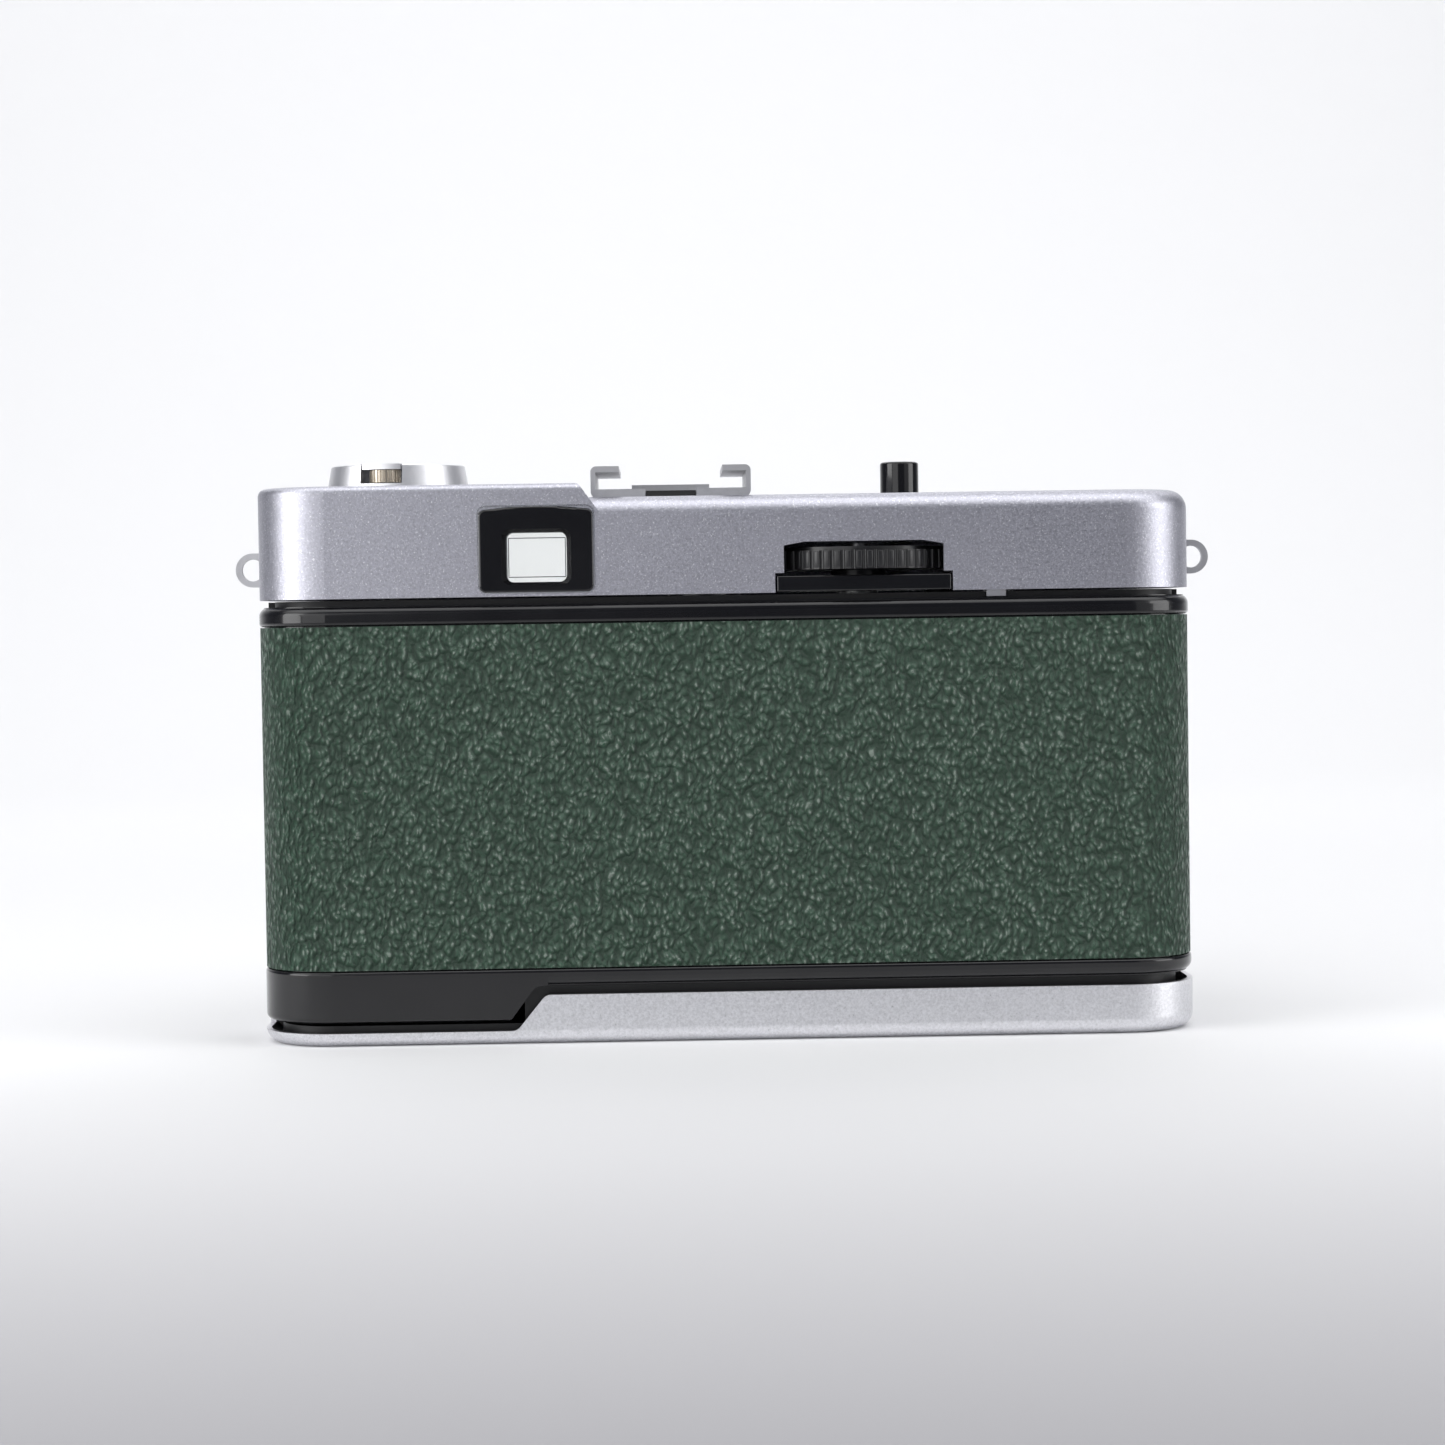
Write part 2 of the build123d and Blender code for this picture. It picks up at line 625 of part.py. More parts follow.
def finder_housing():
    back, front = BODY_D / 2 - 3.4, -(BODY_D / 2 - 2.4)
    width, height = FINDER_BOX
    wall = 0.8
    outer = upright(rect_at(FINDER_X, EYE_AXIS_Z + 0.6, width, height, 1.0), front, back)
    inner = rect_at(FINDER_X, EYE_AXIS_Z + 0.6, width - 2 * wall, height - 2 * wall, 0.8)
    window = upright(rect_at(FINDER_X, EYE_AXIS_Z, *EYE_WINDOW, 0.8), back - 3, back + 1)
    screw = post(*TOP_SCREW_XY, SCREW_R + SCREW_CLEAR, finder_roof() - wall - 1, finder_roof() + 1)
    return outer - upright(inner, front - 1, back - 1.0) - window - screw


def front_window_seat(grow):
    """The outline that the front window is let into, swollen by a clearance."""
    width, height = FRONT_WINDOW
    return rect_at(FINDER_X, FRONT_BEZEL_Z - 0.6, width + 1.1 + grow, height + 0.9 + grow, 0.75)


def finder_front_bezel():
    front = -BODY_D / 2
    body = upright(bezel_outline(0), front - 0.4, front + 1.6)
    opening = upright(rect_at(FINDER_X, FRONT_BEZEL_Z - 0.6, *FRONT_WINDOW, 1.0), front - 1, front + 3)
    return body - opening - upright(front_window_seat(0.1), front + 0.8, front + 3)


def finder_front_window():
    front = -BODY_D / 2
    return upright(front_window_seat(0), front + 0.85, front + 1.9)


# ---------------------------------------------------------------- accessory shoe
def accessory_shoe():
    half = SHOE_SLOT_W / 2 + SHOE_WALL_T
    floor_z = TOP_LOW_Z + SHOE_FLOOR_T
    lip_z = floor_z + SHOE_SLOT_H
    top_z = lip_z + SHOE_LIP_T
    section = [
        (-half, TOP_LOW_Z),
        (half, TOP_LOW_Z),
        (half, top_z),
        (SHOE_LIP_GAP / 2, top_z),
        (SHOE_LIP_GAP / 2, lip_z),
        (SHOE_SLOT_W / 2, lip_z),
        (SHOE_SLOT_W / 2, floor_z),
        (-SHOE_SLOT_W / 2, floor_z),
        (-SHOE_SLOT_W / 2, lip_z),
        (-SHOE_LIP_GAP / 2, lip_z),
        (-SHOE_LIP_GAP / 2, top_z),
        (-half, top_z),
    ]
    shoe = across([(SHOE_X + x, z) for x, z in section], *SHOE_Y)
    outer = [e for e in shoe.edges().filter_by(Axis.Y) if abs(abs(e.center().X - SHOE_X) - half) < 0.01]
    shoe = fillet(outer, 0.7)
    channel = (SHOE_X - SHOE_CHANNEL_W / 2, SHOE_X + SHOE_CHANNEL_W / 2)
    shoe -= block(channel, (SHOE_Y[0] + SHOE_STOP, BIG), (TOP_LOW_Z - 1, floor_z + 1))
    stop = block((SHOE_X - 5.0, SHOE_X + 5.0), (SHOE_Y[0], SHOE_Y[0] + 0.7), (TOP_LOW_Z, floor_z + 1.2))
    shoe += stop
    for x, y in SHOE_SCREW_XY:
        head, shank = SHOE_SCREW_HEAD_R + SCREW_CLEAR, SHOE_SCREW_R + SCREW_CLEAR
        shoe -= post(SHOE_X + x, y, shank, TOP_LOW_Z - 1, floor_z + 1)
        shoe -= Pos(SHOE_X + x, y, floor_z - (head - shank) / 2) * Cone(shank, head, head - shank)
    return shoe


def shoe_screws():
    top = TOP_LOW_Z + SHOE_FLOOR_T
    return Compound(
        [
            countersunk_screw(SHOE_X + x, y, SHOE_SCREW_HEAD_R, SHOE_SCREW_R, top, 3.0, False).solid()
            for x, y in SHOE_SCREW_XY
        ]
    )


def shoe_insulator():
    half = SHOE_CHANNEL_W / 2 - 0.06
    depth = (SHOE_Y[0] + SHOE_STOP + 0.06, SHOE_Y[1] - GAP)
    plate = block((SHOE_X - half, SHOE_X + half), depth, (TOP_LOW_Z, TOP_LOW_Z + 0.75))
    return plate - post(SHOE_X, sum(SHOE_Y) / 2, 1.6, TOP_LOW_Z - 1, TOP_LOW_Z + 2)


def shoe_contact():
    return post(SHOE_X, sum(SHOE_Y) / 2, 1.55, TOP_LOW_Z + 0.02, TOP_LOW_Z + 0.9)


# ---------------------------------------------------------------- film path
def gate_plate_x():
    """The gate plate runs from beside the sprocket to the cassette chamber."""
    sx, _ = sprocket_xy()
    return sx + SPROCKET_R + 1.9, REWIND_X - CASSETTE_R + 0.6


def gate_plate():
    low, high = FLOOR_Z + GAP, DECK_TOP_Z - DECK_T - GAP
    x_low, x_high = gate_plate_x()
    plate = block((x_low, x_high), (GATE_Y, GATE_Y + GATE_T), (low, high))
    rail_y = (GATE_Y + GATE_T, GATE_Y + GATE_T + RAIL_H)
    for side in (-1, 1):
        inner = LENS_Z + side * GATE_H / 2
        outer = LENS_Z + side * FILM_H / 2
        plate += block((x_low, x_high), rail_y, (inner + side * 0.6, inner + side * 1.8))
        guide_y = (rail_y[0], rail_y[1] + 0.2)
        plate += block((x_low, x_high), guide_y, (outer + side * 0.3, outer + side * 1.3))
    opening_z = (LENS_Z - GATE_H / 2, LENS_Z + GATE_H / 2)
    return plate - block((-GATE_W / 2, GATE_W / 2), (GATE_Y - 1, GATE_Y + 2), opening_z)


def light_box():
    """A blackened tapered box from the gate to the shutter case."""
    near, far, wall = GATE_Y - 0.05, 0.4 + REAR_CELL_LENGTH - CASE_D[0], 0.8

    def frustum(grow):
        return loft(
            [
                Pos(0, far, 0) * rect_at(0, LENS_Z, 17 + 2 * grow, 17 + 2 * grow, 1.0),
                Pos(0, near, 0) * rect_at(0, LENS_Z, GATE_W + 4 + 2 * grow, GATE_H + 4 + 2 * grow, 1.0),
            ]
        )

    return frustum(wall) - frustum(0)


def gear_face(teeth, phase):
    """An involute gear's outline, with a tooth centred on the angle phase in degrees."""
    pressure = radians(20)
    pitch_r = GEAR_MODULE * teeth / 2
    base_r = pitch_r * cos(pressure)
    tip_r = pitch_r + 0.85 * GEAR_MODULE
    root_r = pitch_r - 1.2 * GEAR_MODULE
    half = pi / (2 * teeth) - BACKLASH / (2 * pitch_r)
    involute = tan(pressure) - pressure
    start = max(base_r, root_r)
    flank = []
    for step in range(5):
        r = start + (tip_r - start) * step / 4
        a = acos(min(1.0, base_r / r))
        flank.append((r, half + involute - (tan(a) - a)))
    if root_r < base_r:
        flank.insert(0, (root_r, flank[0][1]))
    points = []
    for tooth in range(teeth):
        centre = radians(phase) + 2 * pi * tooth / teeth
        points += [(r * cos(centre - a), r * sin(centre - a)) for r, a in flank]
        points += [(r * cos(centre + a), r * sin(centre + a)) for r, a in reversed(flank)]
    return make_face(Polyline(*points, close=True))


def meshed_phase(driver_xy, driver_teeth, driver_phase, driven_xy, driven_teeth):
    """The phase in degrees that puts a driven gear's gap on the driver's tooth."""
    toward = degrees(atan2(driven_xy[1] - driver_xy[1], driven_xy[0] - driver_xy[0]))
    share = (toward - driver_phase) / (360 / driver_teeth)
    return toward + 180 - (0.5 - share) * 360 / driven_teeth


def gear_phases():
    wheel, sprocket, idler, spool = (WHEEL_X, WHEEL_Y), sprocket_xy(), idler_xy(), (SPOOL_X, SPOOL_Y)
    a = 0.0
    b = meshed_phase(wheel, WHEEL_TEETH, a, sprocket, SPROCKET_TEETH)
    c = meshed_phase(sprocket, SPROCKET_TEETH, b, idler, IDLER_TEETH)
    d = meshed_phase(idler, IDLER_TEETH, c, spool, SPOOL_TEETH)
    return a, b, c, d


def gear_at(xy, teeth, phase):
    return Pos(*xy, 0) * prism(gear_face(teeth, phase), *GEAR_Z)


def advance_wheel():
    here = Pos(WHEEL_X, WHEEL_Y, 0)
    grooves = PolarLocations(WHEEL_R + 0.06, WHEEL_RIBS) * Circle(0.3)
    rim = prism(Circle(WHEEL_R) - grooves, *WHEEL_Z)
    collar = prism(Circle(WHEEL_R - 0.9), WHEEL_Z[1], WHEEL_Z[1] + 0.45)
    hub = prism(Circle(3.4), GEAR_Z[1], WHEEL_Z[0])
    bore = prism(Circle(AXLE_R + RUN_CLEAR), GEAR_Z[0] - 1, WHEEL_Z[1] + 1)
    turned = here * (rim + collar + hub) + gear_at((WHEEL_X, WHEEL_Y), WHEEL_TEETH, gear_phases()[0])
    return turned - here * bore


def sprocket_shaft():
    sx, sy = sprocket_xy()
    axle_low = FLOOR_Z - FLOOR_T - 0.3
    shaft = post(sx, sy, AXLE_R, axle_low, GEAR_Z[1])
    shaft += post(sx, sy, SPROCKET_R - 2.2, LENS_Z - FILM_H / 2 - 1.5, LENS_Z + FILM_H / 2 + 1.5)
    for side in (-1, 1):
        row = LENS_Z + side * (FILM_H / 2 - 3.4)
        shaft += post(sx, sy, SPROCKET_R, row - 2.6, row + 2.6)
        for pin in range(SPROCKET_PINS):
            tooth = Pos(SPROCKET_R + 0.4, 0, 0) * Box(1.6, 1.1, 1.7)
            tooth = chamfer(tooth.faces().sort_by(Axis.X)[-1].edges(), 0.3)
            shaft += Pos(sx, sy, row) * Rot(0, 0, 360 * pin / SPROCKET_PINS) * tooth
    return shaft + gear_at((sx, sy), SPROCKET_TEETH, gear_phases()[1])


def idler_gear():
    x, y = idler_xy()
    return gear_at((x, y), IDLER_TEETH, gear_phases()[2]) - post(x, y, 1.0 + RUN_CLEAR, 50, 60)


def take_up_spool():
    low, high = LENS_Z - FILM_H / 2 - 0.6, LENS_Z + FILM_H / 2 + 0.6
    spool = post(SPOOL_X, SPOOL_Y, AXLE_R, FLOOR_Z - FLOOR_T - 0.3, GEAR_Z[1])
    spool += post(SPOOL_X, SPOOL_Y, SPOOL_CORE_R, low, high)
    grips = PolarLocations(SPOOL_FLANGE_R, 24) * Circle(0.45)
    for z in (low - 1.4, high):
        spool += Pos(SPOOL_X, SPOOL_Y, 0) * prism(Circle(SPOOL_FLANGE_R) - grips, z, z + 1.4)
    for turn in (0, 60, 120):
        slit = Pos(SPOOL_CORE_R, 0, 0) * Box(5.0, 1.0, FILM_H - 8)
        spool -= Pos(SPOOL_X, SPOOL_Y, LENS_Z) * Rot(0, 0, turn) * slit
    return spool + gear_at((SPOOL_X, SPOOL_Y), SPOOL_TEETH, gear_phases()[3])


def counter_bridge():
    """A bent bracket over the spool's gear, with the counter dial's post riveted in it."""
    wall_y = SPOOL_Y - GEAR_MODULE * SPOOL_TEETH / 2 - 3.4
    base, top = DECK_TOP_Z + SEAT_GAP, GEAR_Z[1] + 1.6
    half = 4.5
    x = (DIAL_X - half, DIAL_X + half)
    foot = block(x, (wall_y - 3.0, wall_y), (base, base + 0.7))
    wall = block(x, (wall_y - 0.7, wall_y), (base, top))
    shelf = block(x, (wall_y - 0.7, DIAL_Y + 3.0), (top - 0.7, top))
    shelf += post(DIAL_X, DIAL_Y, 1.6, top, DIAL_Z[0] - 0.1)
    return foot + wall + shelf + post(DIAL_X, DIAL_Y, 1.0, top, DIAL_Z[1] + 0.5)


def deck_posts():
    """Steel posts riveted in the deck for the wheel and the idler."""
    ix, iy = idler_xy()
    base = DECK_TOP_Z + SEAT_GAP

    def stepped(x, y, radius, shoulder_r, shoulder_top, top):
        return (post(x, y, radius, base, top) + post(x, y, shoulder_r, base, shoulder_top)).solid()

    return Compound(
        [
            stepped(WHEEL_X, WHEEL_Y, AXLE_R, 2.4, GEAR_Z[0] - 0.1, WHEEL_Z[1] + 1.0),
            stepped(ix, iy, 1.0, 1.8, GEAR_Z[0] - 0.1, GEAR_Z[1] + 0.6),
        ]
    )


def counter_dial():
    teeth = PolarLocations(DIAL_R, 80) * Circle(0.14)
    dial = prism(Circle(DIAL_R) - teeth - Circle(1.0 + RUN_CLEAR), *DIAL_Z)
    return Pos(DIAL_X, DIAL_Y, 0) * dial


def counter_window():
    rim = post(DIAL_X, COUNTER_WINDOW_Y, COUNTER_WINDOW_R, TOP_LOW_Z - 1.2, TOP_LOW_Z + 0.1)
    return fillet(rim.faces().sort_by(Axis.Z)[-1].edges(), 0.5)


def wheel_guard():
    back = BODY_D / 2
    half = SLOT_LOW_HALF_W - 0.2
    low = COVER_BASE_Z + 0.1
    panel = block((WHEEL_X - half, WHEEL_X + half), (back - 1.2, back), (low, SLOT_SPLIT_Z - 0.35))
    panel = fillet(panel.faces().sort_by(Axis.Y)[-1].edges(), 0.2)
    foot = block((WHEEL_X - half + 1, WHEEL_X + half - 1), (back - 2.6, back - 1.2), (low, low + 0.9))
    return panel + foot


# ---------------------------------------------------------------- shutter button
def button_collar():
    ring_flat = Circle(BUTTON_R + COLLAR_T) - Circle(BUTTON_R + RUN_CLEAR)
    return Pos(BUTTON_X, BUTTON_Y, 0) * prism(ring_flat, TOP_LOW_Z - COVER_T - 0.6, TOP_LOW_Z + 0.3)


def shutter_button():
    cap = post(BUTTON_X, BUTTON_Y, BUTTON_R, BUTTON_FLANGE_Z, BUTTON_TOP_Z)
    cap = fillet(cap.faces().sort_by(Axis.Z)[-1].edges(), 0.35)
    cap += post(BUTTON_X, BUTTON_Y, BUTTON_R + 0.5, BUTTON_FLANGE_Z - 0.8, BUTTON_FLANGE_Z)
    cap += post(BUTTON_X, BUTTON_Y, 0.8, BUTTON_FLANGE_Z - 3.2, BUTTON_FLANGE_Z)
    return cap - post(BUTTON_X, BUTTON_Y, CABLE_R, BUTTON_TOP_Z - CABLE_DEPTH, BUTTON_TOP_Z + 1)


def button_spring():
    """A coil spring under the button's flange."""
    low, high, coil_r, wire_r = DECK_TOP_Z + 0.4, BUTTON_FLANGE_Z - 0.8, 1.7, 0.18
    turns = 5
    helix = Helix(pitch=(high - low - 2 * wire_r) / turns, height=high - low - 2 * wire_r, radius=coil_r)
    section = Plane(origin=helix @ 0, z_dir=helix % 0) * Circle(wire_r)
    return Pos(BUTTON_X, BUTTON_Y, low + wire_r) * sweep(section, path=helix)


# ---------------------------------------------------------------- back
def door_blank():
    shell = prism(plan(SKIN_T), DOOR_LOW_Z, DOOR_TOP_Z)
    top_bead = prism(plan(-BEAD_OUT), SKIN_HIGH_Z + 0.1, DOOR_TOP_Z)
    top_bead = fillet(top_bead.faces().sort_by(Axis.Z)[-1].edges(), BEAD_R)
    top_bead = fillet(top_bead.faces().sort_by(Axis.Z)[0].edges(), 0.45)
    low_bead = prism(plan(-BEAD_OUT), DOOR_LOW_Z, SKIN_LOW_Z - 0.1)
    low_bead = fillet(low_bead.faces().sort_by(Axis.Z)[0].edges(), BEAD_R)
    low_bead = fillet(low_bead.faces().sort_by(Axis.Z)[-1].edges(), 0.45)
    return shell + top_bead + low_bead


def door_deep_end():
    """The taller stretch of the lower bead, over the film cassette."""
    band = prism(plan(-BEAD_OUT), DOOR_DEEP_Z, SKIN_LOW_Z - 0.1)
    band = fillet(band.faces().sort_by(Axis.Z)[0].edges(), 0.7)
    band = fillet(band.faces().sort_by(Axis.Z)[-1].edges(), 0.45)
    step = step_profile(STEP_HIGH_X, STEP_LOW_X, DOOR_LOW_Z, DOOR_DEEP_Z - 0.5, 1.6)
    region = block((STEP_HIGH_X - 1.5, BIG), (SPLIT_Y, BIG), (-BIG, BIG)) - upright(step, -BIG, BIG)
    return band & region


def back_door():
    door = door_blank() + door_deep_end()
    door -= prism(plan(SKIN_T + DOOR_T), -1, DOOR_TOP_Z + 1)
    door &= behind(SPLIT_Y + GAP)
    side = BODY_W / 2 - SKIN_T
    relief = block((-BODY_W, -side + DOOR_T + 0.5), (-1, HINGE_Y + BARREL_R + 0.2), (-BIG, BIG))
    pocket = block(
        (-side - 2, -side + LEAF_T + 0.02),
        (HINGE_Y, HINGE_Y + DOOR_LEAF_LENGTH + GAP),
        (KNUCKLE_LOW_Z, KNUCKLE_HIGH_Z),
    )
    return door - relief - pocket


def door_leatherette():
    cover = skin(SKIN_LOW_Z, SKIN_HIGH_Z) & behind(SPLIT_Y + 2 * GAP)
    return cover - hinge_relief(BARREL_R + 0.3)


def hinge_leaf(knuckles, length, direction):
    """Rolled knuckles on a flat leaf that lies under the leatherette."""
    side = BODY_W / 2 - SKIN_T
    leaves = []
    for low, high in knuckles:
        barrel = post(HINGE_X, HINGE_Y, BARREL_R, low, high)
        leaf = block((-side, -side + LEAF_T), (HINGE_Y, HINGE_Y + direction * length), (low, high))
        leaves.append((barrel + leaf - post(HINGE_X, HINGE_Y, PIN_R + PIN_CLEAR, low - 1, high + 1)).solid())
    return leaves


def hinge_leaf_body():
    low = (HINGE_LOW_Z, KNUCKLE_LOW_Z - 0.1)
    high = (KNUCKLE_HIGH_Z + 0.1, HINGE_HIGH_Z)
    return Compound(hinge_leaf([low, high], BODY_LEAF_LENGTH, -1))


def hinge_leaf_door():
    return hinge_leaf([(KNUCKLE_LOW_Z + 0.05, KNUCKLE_HIGH_Z - 0.05)], DOOR_LEAF_LENGTH, 1)[0]


def hinge_pin():
    return post(HINGE_X, HINGE_Y, PIN_R, HINGE_LOW_Z - 0.1, HINGE_HIGH_Z + 0.1)


def press_front_y():
    """The pressure plate's front face with the back closed."""
    return GATE_Y + GATE_T + RAIL_H + 0.2 + PRESS_GAP


def pressure_plate():
    y = press_front_y()
    half_w, half_h = PLATE_PRESS_W / 2, PLATE_PRESS_H / 2
    plate = block((-half_w, half_w), (y, y + PRESS_T), (LENS_Z - half_h, LENS_Z + half_h))
    corners = plate.edges().filter_by(Axis.Y)
    plate = fillet(corners, 2.0)
    return chamfer(plate.faces().sort_by(Axis.Y)[0].edges(), 0.3)


def pressure_spring():
    """A bowed leaf riveted inside the back, with room for the plate's travel."""
    inner = BODY_D / 2 - SKIN_T - DOOR_T
    low = press_front_y() + PRESS_T + 0.9
    leaf = block((-12, 12), (inner - 0.35, inner), (LENS_Z - 3, LENS_Z + 3))
    for side in (-1, 1):
        root, tip = side * 12, side * 4.0
        arm = [(root, inner - 0.35), (tip, low), (tip - side * 0.6, low + 0.3), (root - side * 0.6, inner)]
        flat = make_face(Polyline(*[(x, y, LENS_Z - 3) for x, y in arm], close=True))
        leaf += extrude(flat, 6, dir=(0, 0, 1))
    return leaf


def door_latch():
    """A ridged slider at the free end, drawn down to free the back."""
    side = BODY_W / 2 - SKIN_T
    face = BODY_W / 2 + LATCH_PROUD
    plate = block((side - 0.5, face - 0.35), (LATCH_Y[0], LATCH_Y[1]), LATCH_Z)
    ridges = 7
    pitch = (LATCH_Z[1] - LATCH_Z[0] - 1.4) / (ridges - 1)
    for n in range(ridges):
        z = LATCH_Z[0] + 0.7 + n * pitch
        plate += block((face - 0.35, face), (LATCH_Y[0] + 0.4, LATCH_Y[1] - 0.4), (z - 0.3, z + 0.3))
    return plate


# ---------------------------------------------------------------- rewind
def knob_base_z():
    return TOP_HIGH_Z + KNOB_GAP


def crank_frame(shape):
    """Takes a shape drawn about the origin with the crank along +Y to the knob's axis."""
    return Pos(REWIND_X, REWIND_Y, knob_base_z()) * Rot(0, 0, -CRANK_TURN) * shape


def rewind_knob():
    knob = Pos(0, 0, KNOB_H / 2) * Cone(KNOB_R, KNOB_TOP_R, KNOB_H)
    knob = fillet(knob.faces().sort_by(Axis.Z)[-1].edges(), 0.3)
    groove_w = LEVER_W + 0.2
    knob -= block((-groove_w / 2, groove_w / 2), (-BIG, BIG), (KNOB_H - 2 * LEVER_T - 0.15, KNOB_H + 1))
    knob -= block((-NOTCH_W / 2, NOTCH_W / 2), (KNOB_R - NOTCH_DEPTH, BIG), (0.35, KNOB_H + 1))
    ear_y = -LEVER_PIVOT
    ear_z = pivot_z()
    knob -= Pos(0, ear_y, ear_z) * Rot(0, 90, 0) * Cylinder(0.45, LEVER_W + 2.6)
    knob -= Pos(0, 0, KNOB_H / 2) * Cylinder(SHAFT_R - 0.6, 2 * KNOB_H)
    return crank_frame(knob)


def pivot_z():
    """The lever's pivot, above the knob's underside."""
    return KNOB_H - LEVER_T


def crank_lever():
    z_low, z_high = KNOB_H - LEVER_T, KNOB_H - 0.02
    lever = block((-LEVER_W / 2, LEVER_W / 2), (-LEVER_PIVOT, BIG), (z_low, z_high))
    lever &= Pos(0, 0, KNOB_H) * Cylinder(KNOB_TOP_R + 0.1, 10)
    eye = Pos(0, -LEVER_PIVOT, pivot_z()) * Rot(0, 90, 0) * Cylinder(LEVER_T - 0.02, LEVER_W)
    pin = Pos(0, -LEVER_PIVOT, pivot_z()) * Rot(0, 90, 0) * Cylinder(0.42, LEVER_W + 2.4)
    stud = Pos(0, GRIP_AT, 0) * prism(Circle(0.7), 0.62, z_low)
    return crank_frame(lever + eye + pin + stud)


def crank_grip():
    knurl = PolarLocations(GRIP_R, 28) * Circle(0.1)
    flat = Circle(GRIP_R) - knurl - Circle(0.7 + RUN_CLEAR)
    return crank_frame(Pos(0, GRIP_AT, 0) * prism(flat, 0.5, KNOB_H - LEVER_T - 0.06))


def rewind_shaft():
    top = knob_base_z() + KNOB_H - 2 * LEVER_T - 0.3
    bottom = LENS_Z + FILM_H / 2 + 0.5
    shaft = post(REWIND_X, REWIND_Y, SHAFT_R, bottom, knob_base_z() - 0.02)
    shaft += post(REWIND_X, REWIND_Y, SHAFT_R - 0.65, knob_base_z() - 0.1, top)
    shaft -= block((REWIND_X - 0.7, REWIND_X + 0.7), (-BIG, BIG), (bottom - 1, bottom + 4.0))
    return shaft - collar_seat()


def collar_seat():
    """A groove in the shaft that the lifting collar rides in."""
    groove = Circle(SHAFT_R + 1) - Circle(SHAFT_R - COLLAR_GROOVE)
    return Pos(REWIND_X, REWIND_Y, 0) * prism(groove, COLLAR_Z[0] - 0.05, COLLAR_Z[1] + 0.05)


def rewind_collar():
    flat = Circle(COLLAR_R) - Circle(SHAFT_R - COLLAR_GROOVE + RUN_CLEAR)
    return Pos(REWIND_X, REWIND_Y, 0) * prism(flat, *COLLAR_Z)


def rewind_release():
    """The flush button in the base that frees the sprocket."""
    sx, sy = sprocket_xy()
    button = post(sx, sy, RELEASE_R, 0.25, 2.2)
    button = fillet(button.faces().sort_by(Axis.Z)[0].edges(), 0.3)
    button += post(sx, sy, RELEASE_R + 0.6, CAST_BASE_Z + BASE_T + 0.05, CAST_BASE_Z + BASE_T + 0.55)
    dimple = Pos(sx, sy, 0.25 - 5.6) * Sphere(6.0)
    button += post(sx, sy, 1.0, 2.2, 3.4)
    return button - dimple


def counter_reset_pin():
    """A sprung tab that the closed back holds in, to let the counter run."""
    tab = block(RESET_PIN_X, (RESET_PIN_Y - 3.4, RESET_PIN_Y), (DECK_TOP_Z + 0.03, COVER_BASE_Z + 0.55))
    lip = block(RESET_PIN_X, (RESET_PIN_Y - RESET_LIP_T, RESET_PIN_Y), (DOOR_TOP_Z + GAP, DECK_TOP_Z + 0.1))
    return tab + lip


# ---------------------------------------------------------------- lens and shutter
def lens_mount():
    body = ring(MOUNT_R, CASE_R + 0.3, MOUNT_D)
    body += ring(MOUNT_R, SLEEVE_R - SLEEVE_T, (MOUNT_D[1] - MOUNT_WEB_T, MOUNT_D[1]))
    edge = body.edges().filter_by(GeomType.CIRCLE).filter_by(lambda e: e.radius > MOUNT_R - 0.1)
    return chamfer(edge.sort_by(Axis.Y)[0], 0.5)


def shutter_case():
    """Cup that holds the blades and the rear lens cell, with the blades' pivot pins."""
    base_d = (CASE_D[0], CASE_D[0] + CASE_BASE_T)
    wall = ring(CASE_R, CASE_R - 1.0, CASE_D)
    base = ring(CASE_R, STOP_R + 0.4, base_d)
    cell = ring(REAR_GLASS_R + 1.4, REAR_GLASS_R + 0.05, (base_d[0] - REAR_CELL_LENGTH, base_d[0]))
    pin = prism(Circle(BLADE_PIN_R), base_d[1], base_d[1] + 1.4)
    pins = [to_lens(Pos(side * BLADE_PIVOT_R, 0, 0) * pin) for side in (-1, 1)]
    return wall + base + cell + pins[0] + pins[1]


def shutter_blade(side):
    """A thin leaf that covers half of the stop and swings about its pin."""
    d_low = CASE_D[0] + CASE_BASE_T + (0.15 if side < 0 else 0.55)
    pivot = (side * BLADE_PIVOT_R, 0)
    leaf = Pos(side * BLADE_OFFSET, 0) * Circle(BLADE_LEAF_R)
    arm = Pos(side * BLADE_PIVOT_R / 2, 0) * Rectangle(BLADE_PIVOT_R, 2.6)
    boss = Pos(*pivot) * Circle(1.5)
    flat = leaf + arm + boss - Pos(*pivot) * Circle(BLADE_PIN_R + RUN_CLEAR)
    return to_lens(prism(flat, d_low, d_low + BLADE_T))


def knurled(outer, inner, depth, count, groove):
    """A ring with straight grooves round its rim."""
    cuts = PolarLocations(outer + groove * 0.35, count) * Circle(groove)
    return to_lens(prism(Circle(outer) - cuts - Circle(inner), *depth))


def aperture_ring():
    d0, d1 = APERTURE_RING_D
    inner = SLEEVE_R + RING_CLEAR
    grip = knurled(APERTURE_RING_R, inner, (d0 + 0.6, d0 + 2.8), KNURL_COUNT, 0.36)
    scale = ring(APERTURE_RING_R - 0.5, inner, (d0, d1))
    return grip + scale


def film_speed_ring():
    d0, d1 = SPEED_RING_D
    inner = SLEEVE_R + RING_CLEAR
    grip = knurled(SPEED_RING_R, inner, (d0 + 2.6, d1 - 0.5), KNURL_COUNT + 20, 0.26)
    return grip + ring(SPEED_RING_R - 0.4, inner, (d0, d1))


